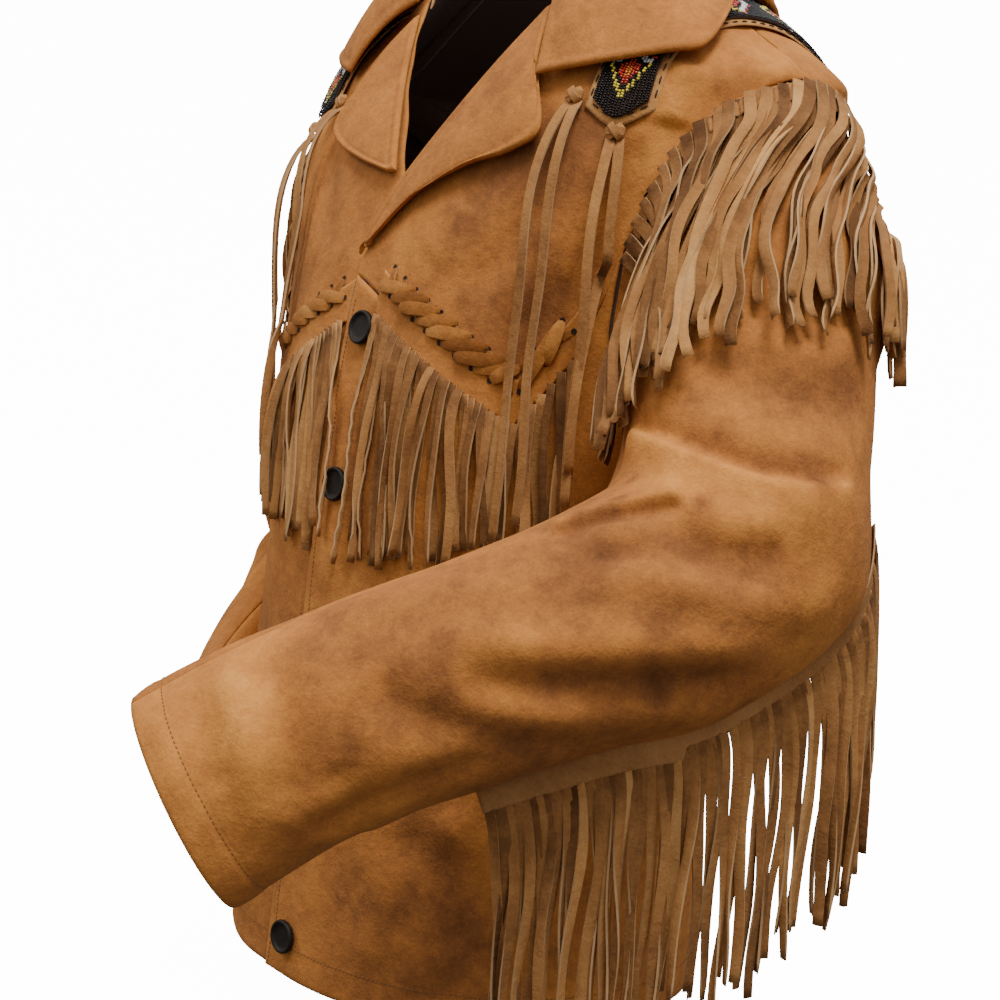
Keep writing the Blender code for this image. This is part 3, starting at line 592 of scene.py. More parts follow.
v = np.linspace(0, 1, 6)[:, None, None]
g = (1 - v) ** 2 * start + 2 * v * (1 - v) * bend + v * v * end
shell("collar", g, .0026, outward=(0, 1, .5))


# ---------------------------------------------------------------- camera, at the photograph's angle
CAM_AT = np.array([0.915, -0.879, -0.201])
CAM_TURN, CAM_PITCH, CAM_ROLL = (math.radians(v) for v in (47.144, 8.254, 4.610))
CAM_F = 1746.406                       # focal length in pixels of a frame 1000 wide
look = np.array([-math.sin(CAM_TURN) * math.cos(CAM_PITCH), math.cos(CAM_TURN) * math.cos(CAM_PITCH), -math.sin(CAM_PITCH)])
level = np.array([math.cos(CAM_TURN), math.sin(CAM_TURN), 0.0])
above = np.cross(level, look)
cam_x = math.cos(CAM_ROLL) * level + math.sin(CAM_ROLL) * above
cam_y = -math.sin(CAM_ROLL) * level + math.cos(CAM_ROLL) * above
cam = bpy.data.cameras.new("camera")
cam.sensor_width = 36.0
cam.lens = 36.0 * CAM_F / 1000.0
cam_obj = bpy.data.objects.new("camera", cam)
cam_obj.matrix_world = Matrix([[cam_x[i], cam_y[i], -look[i], CAM_AT[i]] for i in range(3)] + [[0, 0, 0, 1]])
bpy.context.scene.collection.objects.link(cam_obj)
bpy.context.scene.camera = cam_obj


def sight(px, py):
    d = look * CAM_F + cam_x * (px - 500) - cam_y * (py - 500)
    return d / np.linalg.norm(d)


# ---------------------------------------------------------------- materials
def node(tree, kind, at, **values):
    n = tree.nodes.new(kind)
    n.location = at
    for k, v in values.items():
        if k in n.inputs:
            n.inputs[k].default_value = v
        else:
            setattr(n, k, v)
    return n


def ramp(tree, at, stops):
    n = tree.nodes.new("ShaderNodeValToRGB")
    n.location = at
    cr = n.color_ramp
    while len(cr.elements) < len(stops):
        cr.elements.new(0.5)
    for e, (p, c) in zip(cr.elements, stops):
        e.position = p
        e.color = (*c, 1)
    return n


def math_node(tree, op, a, b, at, clamp=False):
    n = tree.nodes.new("ShaderNodeMath")
    n.operation = op
    n.use_clamp = clamp
    n.location = at
    for k, v in enumerate((a, b)):
        if isinstance(v, (int, float)):
            n.inputs[k].default_value = v
        else:
            tree.links.new(v, n.inputs[k])
    return n.outputs[0]


def suede(name, stops, tone=.30, large=.38, mid=.54, fleck=.36, grain=.30, nap=.60, sheen=.05, tint=(1, .60, .28), rough=.94):
    """Napped suede: mottled in three sizes, paler where the tone is high, with a fine fibrous bump."""
    m = bpy.data.materials.new(name)
    m.use_nodes = True
    t = m.node_tree
    L = t.links.new
    b = t.nodes["Principled BSDF"]
    b.inputs["Roughness"].default_value = rough
    b.inputs["Sheen Weight"].default_value = sheen
    b.inputs["Sheen Roughness"].default_value = .45
    b.inputs["Sheen Tint"].default_value = (*tint, 1)
    b.inputs["Specular IOR Level"].default_value = .18
    co = node(t, "ShaderNodeTexCoord", (-1500, 0))
    n1 = node(t, "ShaderNodeTexNoise", (-1200, 300), Scale=7.5, Detail=3.0, Roughness=.55, Distortion=.6)
    n2 = node(t, "ShaderNodeTexNoise", (-1200, 60), Scale=34.0, Detail=5.0, Roughness=.62, Distortion=.3)
    n3 = node(t, "ShaderNodeTexNoise", (-1200, -180), Scale=520.0, Detail=3.0, Roughness=.7)
    n4 = node(t, "ShaderNodeTexNoise", (-1200, -420), Scale=140.0, Detail=4.0, Roughness=.65)
    for n in (n1, n2, n3, n4):
        L(co.outputs["Object"], n.inputs["Vector"])
    at = node(t, "ShaderNodeAttribute", (-1200, 520), attribute_name="tone")
    f = math_node(t, "MULTIPLY_ADD", n1.outputs[0], large, (-950, 300))
    f.node.inputs[2].default_value = .5 - large / 2
    g = math_node(t, "MULTIPLY_ADD", n2.outputs[0], mid, (-950, 60))
    g.node.inputs[2].default_value = -mid / 2
    h = math_node(t, "MULTIPLY_ADD", n3.outputs[0], grain, (-950, -180))
    h.node.inputs[2].default_value = -grain / 2
    k = math_node(t, "MULTIPLY", at.outputs["Fac"], tone, (-950, 520))
    w = math_node(t, "MULTIPLY_ADD", n4.outputs[0], fleck, (-950, -420))
    w.node.inputs[2].default_value = -fleck / 2
    g = math_node(t, "ADD", g, w, (-850, 20))
    s = math_node(t, "ADD", f, g, (-750, 200))
    s = math_node(t, "ADD", s, h, (-600, 200))
    s = math_node(t, "ADD", s, k, (-450, 200), True)
    r = ramp(t, (-300, 200), stops)
    L(s, r.inputs[0])
    L(r.outputs[0], b.inputs["Base Color"])
    b1 = node(t, "ShaderNodeBump", (-300, -200), Strength=nap, Distance=.0006)
    b2 = node(t, "ShaderNodeBump", (-120, -200), Strength=nap * .9, Distance=.0016)
    L(n3.outputs[0], b1.inputs["Height"])
    L(n4.outputs[0], b2.inputs["Height"])
    L(b1.outputs[0], b2.inputs["Normal"])
    L(b2.outputs[0], b.inputs["Normal"])
    return m


def plain(name, colour, rough, bump=.1, scale=300.0, vary=.15, sheen=0.0, spec=.5, coat=0.0):
    m = bpy.data.materials.new(name)
    m.use_nodes = True
    t = m.node_tree
    b = t.nodes["Principled BSDF"]
    b.inputs["Specular IOR Level"].default_value = spec
    b.inputs["Sheen Weight"].default_value = sheen
    b.inputs["Coat Weight"].default_value = coat
    co = node(t, "ShaderNodeTexCoord", (-900, 0))
    n = node(t, "ShaderNodeTexNoise", (-700, 0), Scale=scale, Detail=4.0, Roughness=.6)
    t.links.new(co.outputs["Object"], n.inputs["Vector"])
    r = ramp(t, (-450, 100), ((.25, tuple(c * (1 - vary) for c in colour)), (.75, tuple(min(1, c * (1 + vary)) for c in colour))))
    t.links.new(n.outputs[0], r.inputs[0])
    t.links.new(r.outputs[0], b.inputs["Base Color"])
    q = ramp(t, (-450, -150), ((.2, (rough * .85,) * 3), (.8, (min(1, rough * 1.15),) * 3)))
    t.links.new(n.outputs[0], q.inputs[0])
    t.links.new(q.outputs[0], b.inputs["Roughness"])
    bp = node(t, "ShaderNodeBump", (-200, -250), Strength=bump, Distance=.0005)
    t.links.new(n.outputs[0], bp.inputs["Height"])
    t.links.new(bp.outputs[0], b.inputs["Normal"])
    return m


BODY = suede("suede_body", ((0.0, (.132, .048, .017)), (.28, (.262, .096, .029)), (.50, (.430, .160, .038)),
                            (.74, (.600, .238, .053)), (1.0, (.800, .372, .092))))
STRIP = suede("suede_strip", ((0.0, (.088, .035, .012)), (.30, (.196, .084, .028)), (.52, (.320, .142, .046)),
                              (.76, (.435, .208, .068)), (1.0, (.570, .305, .112))), tone=.46, large=.35, mid=.5)
CUT = suede("suede_cut_edge", ((0.0, (.260, .145, .068)), (.4, (.420, .248, .115)), (1.0, (.620, .400, .215))),
            tone=.25, large=.3, mid=.4, nap=.2)
LACE = suede("suede_lace", ((0.0, (.140, .046, .010)), (.30, (.270, .095, .020)), (.52, (.410, .165, .038)),
                            (.78, (.560, .255, .072)), (1.0, (.700, .380, .140))), tone=.44)
HEADER = suede("suede_header", ((0.0, (.150, .062, .018)), (.30, (.300, .130, .036)), (.52, (.430, .200, .064)),
                                (.78, (.530, .280, .105)), (1.0, (.640, .390, .190))), tone=.36)
ARM_HEADER = suede("suede_arm_header", ((0.0, (.130, .055, .018)), (.30, (.240, .106, .036)), (.52, (.335, .155, .055)),
                                        (.78, (.430, .212, .080)), (1.0, (.550, .300, .130))), tone=.36)
LINING = plain("lining", (.105, .050, .028), .62, bump=.12, scale=900.0, vary=.25, sheen=.35, spec=.35)
THREAD = plain("thread", (.210, .092, .026), .8, bump=.3, scale=1500.0)
THREAD_DARK = plain("thread_dark", (.050, .018, .008), .85, bump=.3, scale=1500.0)
PAINTED_HOLE_SHADE = plain("hole_shadow", (.018, .007, .003), .95, vary=.3)
BUTTON_MAT = plain("button_dark", (.014, .010, .008), .55, bump=.15, scale=420.0, vary=.5, spec=.22)
BEAD_MATS = [plain("bead_" + n, c, .22, bump=.02, scale=260.0, vary=.18, spec=.25 if n == "black" else .5,
                   coat=.06 if n == "black" else .35) for n, c in (
    ("black", (.003, .003, .004)), ("yellow", (.780, .640, .060)), ("white", (.760, .780, .760)),
    ("red", (.560, .030, .012)), ("orange", (.800, .230, .020)))]


# ---------------------------------------------------------------- mesh helpers
def resample(g, count, axis):
    """count rows, evenly spaced along a smooth curve through a grid's rows."""
    g = np.moveaxis(np.asarray(g, float), axis, 0)
    step = np.linalg.norm(np.diff(g, axis=0), axis=-1)
    while step.ndim > 1:
        step = step.mean(axis=-1)
    d = np.r_[0, np.cumsum(np.maximum(step, 1e-6))]
    m = np.empty_like(g)
    h = np.diff(d)
    slope = np.diff(g, axis=0) / h.reshape((-1,) + (1,) * (g.ndim - 1))
    w = (h[:-1] / (h[:-1] + h[1:])).reshape((-1,) + (1,) * (g.ndim - 1))
    m[1:-1] = slope[:-1] * (1 - w) + slope[1:] * w
    m[0], m[-1] = slope[0], slope[-1]
    s = np.linspace(0, d[-1], count)
    k = np.clip(np.searchsorted(d, s, side="right") - 1, 0, len(d) - 2)
    hh = (d[k + 1] - d[k]).reshape((-1,) + (1,) * (g.ndim - 1))
    t = ((s - d[k]) / (d[k + 1] - d[k])).reshape((-1,) + (1,) * (g.ndim - 1))
    out = ((1 + 2 * t) * (1 - t) ** 2 * g[k] + t * (1 - t) ** 2 * hh * m[k]
           + t * t * (3 - 2 * t) * g[k + 1] + t * t * (t - 1) * hh * m[k + 1])
    return np.moveaxis(out, 0, axis)


def fine(g, rows, cols):
    return resample(resample(g, rows, 0), cols, 1)


def grid_normals(g, outward):
    n = np.cross(np.gradient(g, axis=1), np.gradient(g, axis=0))
    n /= np.maximum(np.linalg.norm(n, axis=-1), 1e-12)[..., None]
    r, c = g.shape[0] // 2, g.shape[1] // 2
    coarse = n[r, c]
    return n if coarse @ outward > 0 else -n


def edge_distance(g):
    """How far each point is from the piece's nearest edge, along the grid."""
    row = np.linalg.norm(np.diff(g, axis=0), axis=-1)
    col = np.linalg.norm(np.diff(g, axis=1), axis=-1)
    a = np.concatenate([np.zeros((1, g.shape[1])), np.cumsum(row, axis=0)])
    b = np.concatenate([np.zeros((g.shape[0], 1)), np.cumsum(col, axis=1)], axis=1)
    return np.minimum(np.minimum(a, a[-1:] - a), np.minimum(b, b[:, -1:] - b))


def grain_field(p, seed, sizes=((.16, 1.0), (.085, .55), (.045, .30))):
    """Slow uneven waves over the cloth, about -1 to 1."""
    rng = np.random.default_rng(seed)
    out = np.zeros(p.shape[:-1])
    total = 0
    for size, amount in sizes:
        for _ in range(5):
            k = rng.normal(size=3)
            k *= 2 * np.pi / size / np.linalg.norm(k)
            out += amount * np.sin(p @ k + rng.uniform(0, 6.28)) / 2.2
        total += amount
    return out / total


def segment_distance(p, a, b):
    ab = b - a
    t = np.clip(((p - a) @ ab) / (ab @ ab), 0, 1)
    return np.linalg.norm(p - a - t[..., None] * ab, axis=-1), t


def side_of(p, line, normals):
    """Which side of a line on the cloth each point lies on: below it is positive for a line drawn left to right."""
    line = np.array(line)
    best = np.full(p.shape[:-1], 9.0)
    out = np.zeros(p.shape[:-1])
    for i in range(len(line) - 1):
        d, t = segment_distance(p, line[i], line[i + 1])
        near = d < best
        best = np.where(near, d, best)
        run = line[i + 1] - line[i]
        foot = line[i] + t[..., None] * run
        out = np.where(near, ((p - foot) * np.cross(run / np.linalg.norm(run), normals)).sum(axis=-1), out)
    return out


def crease(p, line, width, depth, kind="trough", blunt=.18, normals=None):
    """Displacement of points p by a soft fold laid along a line of points on the cloth."""
    line = np.array(line)
    seg = np.linalg.norm(np.diff(line, axis=0), axis=1)
    start = np.r_[0, np.cumsum(seg)]
    best = np.full(p.shape[:-1], 9.0)
    where = np.zeros(p.shape[:-1])
    for i in range(len(line) - 1):
        d, t = segment_distance(p, line[i], line[i + 1])
        near = d < best
        best = np.where(near, d, best)
        where = np.where(near, (start[i] + t * seg[i]) / start[-1], where)
    fade = np.clip(where / blunt, 0, 1) * np.clip((1 - where) / blunt, 0, 1)
    fade = fade * fade * (3 - 2 * fade) + .0
    x = best / width
    if kind == "lap":
        # the cloth on one side rolls over the other: a steep edge, a broad roll, a shadowed foot
        low = side_of(p, line, normals) < 0
        t = 1 / (1 + np.exp(-np.where(low, -x, x) / .16))
        return depth * fade * (t * np.exp(-(x / 2.3) ** 2) - (1 - t) * .60 * np.exp(-(x / 1.25) ** 2))
    if kind == "ridge":
        return depth * fade * np.exp(-x * x)
    return depth * fade * (-np.exp(-x * x) + .55 * np.exp(-((x - 2.0) / 1.1) ** 2))


def build(name, verts, faces, mats, index=None, smooth=True, tone=None, sharp=None):
    mesh = bpy.data.meshes.new(name)
    mesh.from_pydata(np.asarray(verts, float).tolist(), [], faces)
    for m in mats:
        mesh.materials.append(m)
    if index is not None:
        mesh.polygons.foreach_set("material_index", np.asarray(index, np.int32))
    mesh.polygons.foreach_set("use_smooth", np.full(len(mesh.polygons), smooth))
    if tone is not None:
        a = mesh.attributes.new("tone", "FLOAT", "POINT")
        a.data.foreach_set("value", np.asarray(tone, np.float32).ravel())
    if sharp is not None:
        e = np.empty(len(mesh.edges) * 2, np.int32)
        mesh.edges.foreach_get("vertices", e)
        mark = sharp(e.reshape(-1, 2))
        a = mesh.attributes.new("sharp_edge", "BOOLEAN", "EDGE")
        a.data.foreach_set("value", mark)
    mesh.update()
    obj = bpy.data.objects.new(name, mesh)
    bpy.context.scene.collection.objects.link(obj)
    return obj


def put(obj, slot, *nodes):
    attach(obj, "root")
    if nodes:
        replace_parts(obj, *nodes)
    return obj


outer_sides = {}          # name: (points, normals) of each panel's outer side
tones = {}


def cloth(name, rows, cols, disp=None, tone=None, puff=0.0, mats=None, extra=0.0, slot="suede", taper=.0022):
    """A panel: a thin shell on its solid's form, a little thinner at its edges, with its folds."""
    g, thick, outward = grids[name]
    g = fine(g, rows, cols)
    n = grid_normals(g, outward)
    e = edge_distance(g)
    d = np.zeros(g.shape[:2])
    if disp is not None:
        q = np.clip(e / .012, 0, 1)
        d = disp(g, n) * (q * q * (3 - 2 * q))
    t = (thick + extra) * (.62 + .38 * np.clip(e / taper, 0, 1) ** .5)
    if puff:
        t = t + puff * np.exp(-((e - .0028) / .0020) ** 2) - .45 * puff * np.exp(-((e - .0072) / .0016) ** 2)
    inner = g + n * d[..., None]
    outer = g + n * (d + t)[..., None]
    r, c = g.shape[:2]
    verts = np.concatenate([outer.reshape(-1, 3), inner.reshape(-1, 3)])
    i = np.arange(r * c).reshape(r, c)
    quads = np.stack([i[:-1, :-1], i[:-1, 1:], i[1:, 1:], i[1:, :-1]], -1).reshape(-1, 4)
    m = r * c
    face_n = np.cross(outer[0, 1] - outer[0, 0], outer[1, 0] - outer[0, 0])
    mid = (r // 2, c // 2)
    face_n = np.cross(outer[mid[0], mid[1] + 1] - outer[mid], outer[mid[0] + 1, mid[1]] - outer[mid])
    flip = face_n @ n[mid] < 0
    top = quads[:, ::-1] if flip else quads
    under = (quads if flip else quads[:, ::-1]) + m
    loop = np.r_[i[0, :], i[1:, -1], i[-1, -2::-1], i[-2:0:-1, 0]]
    nxt = np.roll(loop, -1)
    rim = np.stack([loop, loop + m, nxt + m, nxt], -1)
    if flip:
        rim = rim[:, ::-1]
    faces = np.concatenate([top, under, rim]).tolist()
    index = np.r_[np.zeros(len(top)), np.ones(len(under)), np.full(len(rim), 2)]
    # Tone follows the fold displacement, paler on the ridges and darker in the troughs: painted highlight and painted
    # shade.
    tt = np.clip(d / .0065, -1, 1) * .42
    if tone is not None:
        tt = tt + tone(g)
    tt = tt + .35 * np.exp(-e / .0016)
    obj = build(name.replace("shell_", "") + "_cloth", verts, faces, mats or [BODY, LINING, BODY], index,
                tone=np.r_[tt.ravel(), tt.ravel()])
    put(obj, slot, name)
    outer_sides[name] = (outer, n)
    tones[name] = tt
    piece[name] = obj
    area = 0.0
    for q in (outer,):
        a = np.cross(q[1:, 1:] - q[:-1, :-1], q[1:, :-1] - q[:-1, 1:])
        area += .5 * np.linalg.norm(a, axis=-1).sum()
    measured[name] = round(float(area), 4)
    return obj


piece, measured = {}, {}


def tree_of(*names):
    verts, faces, base = [], [], 0
    for k in names:
        o, n = outer_sides[k]
        r, c = o.shape[:2]
        i = np.arange(r * c).reshape(r, c) + base
        q = np.stack([i[:-1, :-1], i[:-1, 1:], i[1:, 1:], i[1:, :-1]], -1).reshape(-1, 4)
        m = (r // 2, c // 2)
        if np.cross(o[m[0], m[1] + 1] - o[m], o[m[0] + 1, m[1]] - o[m]) @ n[m] < 0:
            q = q[:, ::-1]
        verts.append(o.reshape(-1, 3))
        faces.append(q)
        base += r * c
    return BVHTree.FromPolygons(np.concatenate(verts).tolist(), np.concatenate(faces).tolist())


def base_tree(name, rows=60, cols=50):
    g, thick, outward = grids[name]
    g = fine(g, rows, cols)
    i = np.arange(g.shape[0] * g.shape[1]).reshape(g.shape[:2])
    q = np.stack([i[:-1, :-1], i[:-1, 1:], i[1:, 1:], i[1:, :-1]], -1).reshape(-1, 4)
    return BVHTree.FromPolygons(g.reshape(-1, 3).tolist(), q.tolist())


def seen(tree, pixels):
    """Points where lines of sight through the frame meet a surface; those that miss are left out."""
    out = []
    for px, py in pixels:
        hit = tree.ray_cast(Vector(CAM_AT), Vector(sight(px, py)))
        if hit[0] is not None:
            out.append(np.array(hit[0]))
    return np.array(out)


# ---------------------------------------------------------------- folds
# Folds that show, as lines in the frame (pixels of a frame 1000 wide), half width and depth in mm.
FOLD_COLUMNS = ("kind", "half_width", "depth", "line")
FOLDS_LEFT_SLEEVE = (
    # the cloth doubles over in front of the elbow: a corner, a lapped edge and the roll below it
    ("lap", 8.0, 5.6, ((598, 452), (614, 436), (632, 428), (671, 442), (712, 460), (763, 478), (812, 485), (852, 480))),
    ("ridge", 15, 3.0, ((640, 486), (700, 505), (770, 520), (840, 515))),
    ("lap", 6.0, 5.2, ((688, 506), (655, 510), (610, 517), (578, 526), (552, 538))),
    ("trough", 8, 3.6, ((655, 522), (690, 541), (730, 552), (790, 556))),
    ("trough", 8, 3.2, ((575, 560), (630, 552), (688, 562), (735, 576), (790, 580))),
    ("ridge", 13, 3.4, ((640, 580), (700, 596), (770, 606), (840, 596))),
    # the long soft crease from the elbow down the forearm, and the shadowed hollow under it
    ("trough", 11, 5.2, ((440, 674), (508, 686), (610, 683), (690, 680), (760, 670), (814, 656), (852, 634))),
    ("ridge", 14, 3.8, ((400, 640), (470, 650), (560, 656), (640, 656), (720, 650), (790, 636))),
    ("trough", 11, 3.2, ((352, 690), (400, 704), (457, 722), (520, 734), (590, 736))),
    ("ridge", 12, 2.4, ((390, 690), (450, 700), (520, 710), (600, 708))),
    ("ridge", 15, 2.4, ((330, 625), (400, 600), (470, 592), (540, 600))),
    ("trough", 12, 2.4, ((262, 650), (280, 700), (292, 760), (286, 820))),
    ("ridge", 13, 2.6, ((232, 655), (246, 720), (258, 790), (252, 850))),
    ("trough", 11, 2.0, ((192, 690), (204, 740), (222, 800))),
    ("trough", 12, 2.2, ((330, 760), (350, 800), (330, 840))),
    ("trough", 14, 2.6, ((700, 372), (760, 392), (820, 402), (862, 398))),
    ("ridge", 14, 2.2, ((735, 330), (800, 352), (862, 352))),
    ("trough", 7, 2.2, ((300, 838), (400, 785), (500, 748))),
)
# Paler and darker places that show: amount, half width in mm, line in the frame. On the sleeve the dark lines along the
# folds are painted shade in the creases and the pale lines along the ridges are painted highlight; the pale places at
# the cuff are wear.
WEAR_AND_PAINTED_SHADE_LEFT_SLEEVE = (
    (.40, 8, ((640, 440), (700, 466), (765, 488), (830, 494))), (.40, 14, ((252, 645), (250, 690), (238, 740))),
    (.30, 26, ((150, 700), (200, 690), (240, 680))), (.25, 22, ((175, 760), (215, 850))),
    (-.34, 22, ((420, 690), (520, 708), (640, 704), (740, 694), (830, 668))), (-.30, 26, ((560, 560), (640, 580), (720, 600))),
    (-.25, 24, ((320, 720), (420, 742), (500, 745))), (.20, 20, ((560, 600), (640, 610), (720, 632))),
    (-.50, 10, ((690, 442), (750, 462), (820, 468))), (-.35, 22, ((690, 395), (760, 405), (840, 400))),
    (.25, 18, ((660, 410), (700, 425))), (.25, 14, ((690, 450), (770, 430), (850, 430))), (-.45, 12, ((590, 524), (650, 518))),
    (-.40, 30, ((320, 640), (400, 610), (480, 590), (560, 565))), (-.30, 22, ((300, 770), (330, 700), (330, 650))),
    (-.25, 40, ((700, 600), (800, 600), (850, 560))), (-.32, 26, ((420, 650), (500, 628), (590, 625))),
)
# On the yoke these are mostly painted shadow under the lapel and under the collar, and painted highlight along the
# folds and over the shoulder.
PAINTED_SHADE_LEFT_YOKE = (
    (-.75, 22, ((470, 215), (520, 170), (560, 130))), (-.55, 26, ((590, 150), (570, 230), (545, 300))),
    (.55, 18, ((655, 110), (625, 190), (600, 260))), (-.35, 20, ((640, 80), (600, 150))), (.35, 26, ((740, 60), (800, 60), (840, 90))),
    (.30, 26, ((430, 240), (440, 270))), (-.35, 24, ((500, 330), (540, 340))),
)
# On the front these are mostly a painted highlight along the front edge and painted shadow low down, under the arm.
PAINTED_SHADE_LEFT_FRONT = (
    (.60, 12, ((352, 300), (330, 420), (308, 560), (296, 620))), (-.55, 40, ((420, 820), (450, 900), (470, 980))),
    (-.35, 30, ((350, 880), (370, 960))), (.40, 14, ((270, 900), (280, 950))), (-.30, 26, ((420, 520), (440, 580))),
)
# The same kinds of fold elsewhere, by share of the way round and down the piece.
FOLDS_BY_SHARE = {
    "sleeve_right_top": (
        ("trough", 9, 6.5, ((.95, .47), (.70, .50), (.45, .55))), ("trough", 9, 6.0, ((1.0, .56), (.72, .58), (.40, .60))),
        ("ridge", 13, 4.5, ((.95, .52), (.66, .55), (.40, .58))), ("trough", 12, 4.0, ((.75, .62), (.60, .74), (.52, .88))),
        ("ridge", 14, 3.2, ((.62, .30), (.55, .44), (.40, .52))), ("trough", 10, 3.4, ((.86, .24), (.80, .36), (.82, .46))),
        ("trough", 9, 2.6, ((.30, .80), (.50, .86), (.70, .84)))),
    "sleeve_left_under": (
        ("trough", 10, 6.5, ((.04, .48), (.30, .50), (.60, .52))), ("trough", 9, 6.0, ((.02, .55), (.32, .57), (.64, .58))),
        ("ridge", 12, 4.0, ((.05, .52), (.36, .535), (.60, .55))), ("trough", 12, 3.5, ((.35, .62), (.50, .76), (.55, .90)))),
    "sleeve_right_under": (
        ("trough", 10, 6.0, ((.04, .50), (.30, .52), (.60, .54))), ("trough", 9, 5.5, ((.02, .58), (.32, .60), (.64, .61))),
        ("ridge", 12, 4.0, ((.05, .54), (.36, .56), (.60, .575))), ("trough", 12, 3.2, ((.35, .66), (.50, .78), (.55, .90)))),
    "back": (
        ("trough", 18, 5.0, ((.16, .40), (.30, .47), (.44, .52))), ("trough", 18, 5.0, ((.84, .42), (.70, .50), (.58, .53))),
        ("trough", 20, 4.5, ((.20, .62), (.50, .66), (.80, .63))), ("ridge", 20, 4.0, ((.18, .56), (.50, .60), (.82, .57))),
        ("trough", 16, 4.0, ((.24, .78), (.45, .75), (.66, .79))), ("ridge", 16, 3.0, ((.30, .12), (.34, .24), (.33, .36))),
        ("ridge", 16, 3.0, ((.70, .12), (.66, .24), (.67, .36)))),
    "front_left": (
        ("trough", 14, 3.0, ((.85, .42), (.62, .55), (.40, .60))), ("ridge", 16, 3.0, ((.20, .60), (.30, .78), (.26, .95))),
        ("trough", 14, 2.8, ((.42, .70), (.50, .84), (.46, .98))), ("trough", 14, 3.2, ((.90, .66), (.74, .72), (.60, .70)))),
    "front_right": (
        ("trough", 14, 3.0, ((.85, .45), (.62, .56), (.40, .62))), ("ridge", 16, 3.0, ((.22, .62), (.30, .80), (.28, .96))),
        ("trough", 14, 2.8, ((.46, .70), (.52, .84), (.50, .98))), ("trough", 14, 3.2, ((.90, .64), (.74, .70), (.60, .70)))),
    "yoke_left": (),
    "yoke_right": (("ridge", 12, 2.5, ((.55, .25), (.60, .50), (.55, .75))), ("trough", 12, 2.2, ((.30, .35), (.36, .60), (.30, .85)))),
    "collar": (("ridge", 16, 1.6, ((.10, .60), (.30, .55), (.45, .60))), ("ridge", 16, 1.6, ((.60, .60), (.75, .55), (.9, .62)))),
}
FOLDS_LEFT_YOKE = (
    ("ridge", 12, 5.0, ((690, 62), (668, 130), (650, 200), (640, 250))),
    ("trough", 11, 3.6, ((640, 130), (622, 190), (606, 250), (598, 300))),
    ("ridge", 12, 2.4, ((590, 120), (576, 180), (560, 260), (520, 320))),
    ("trough", 12, 2.4, ((560, 140), (540, 200), (500, 260), (470, 300))),
    ("ridge", 14, 2.2, ((470, 200), (450, 240), (430, 262))),
    ("trough", 12, 2.0, ((760, 40), (730, 90), (700, 118))),
)
FOLDS_LEFT_FRONT = (
    ("ridge", 10, 2.5, ((350, 420), (338, 520), (325, 600))),
    ("trough", 16, 2.6, ((400, 820), (430, 880), (450, 960))),
    ("ridge", 16, 2.6, ((450, 800), (478, 870), (500, 960))),
)


def folds(name, seed, wave=.0009, rows_of=None):
    lines = []
    if name in FOLDS_BY_SHARE and FOLDS_BY_SHARE[name]:
        g, thick, outward = grids[name]
        f = fine(g, 61, 61)
        for kind, width, depth, shares in FOLDS_BY_SHARE[name]:
            pts = [f[int(round(v * 60)), int(round(u * 60))] for u, v in shares]
            pts = resample(np.array(pts)[:, None], 9, 0)[:, 0]
            lines.append((kind, width, depth, pts))
    for table, panel in ((FOLDS_LEFT_SLEEVE, "sleeve_left_top"), (FOLDS_LEFT_YOKE, "yoke_left"), (FOLDS_LEFT_FRONT, "front_left")):
        if panel == name:
            t = base_tree(name)
            for kind, width, depth, pixels in table:
                pts = seen(t, pixels)
                if len(pts) > 1:
                    lines.append((kind, width, depth, resample(pts[:, None], 9, 0)[:, 0]))

    def disp(p, n):
        d = wave * grain_field(p, seed)
        for kind, width, depth, pts in lines:
            d = d + crease(p, pts, width / 1000, depth / 1000, kind, normals=n, blunt=.10 if kind == "lap" else .18)
        return d
    return disp


def patchy(seed, amount=.35, table=None, panel=None):
    lines = []
    if table:
        t = base_tree(panel)
        for strength, width, pixels in table:
            pts = seen(t, resample(np.array(pixels, float)[:, None], 7, 0)[:, 0])
            if len(pts) > 1:
                lines.append((strength, width / 1000, pts))

    def tone(p):
        out = amount * grain_field(p, seed, ((.22, 1.0), (.11, .7), (.05, .35)))
        ragged = 1 + .45 * grain_field(p, seed + 1, ((.05, 1.0), (.022, .8)))
        for strength, width, pts in lines:
            d = np.full(p.shape[:-1], 9.0)
            for i in range(len(pts) - 1):
                d = np.minimum(d, segment_distance(p, pts[i], pts[i + 1])[0])
            # A table's lines add painted shade and painted highlight, and on the sleeve also wear at the cuff.
            out = out + strength * np.exp(-(d / width * ragged) ** 2)
        return out
    return tone


# ---------------------------------------------------------------- the panels
def hem_line(share, depth=.0009, width=.0016, axis=0):
    """A pressed, stitched line parallel to an end edge, as a displacement on top of the folds."""
    def extra(p):
        step = np.linalg.norm(np.diff(p, axis=axis), axis=-1)
        if axis == 0:
            d = np.cumsum(step[::-1], axis=0)[::-1]
            d = np.concatenate([d, np.zeros((1, p.shape[1]))])
        return -depth * np.exp(-((d - share) / width) ** 2) + .0006 * (1 / (1 + np.exp((d - share) / .0012)))
    return extra


def both(a, b):
    return lambda p, n: a(p, n) + b(p)


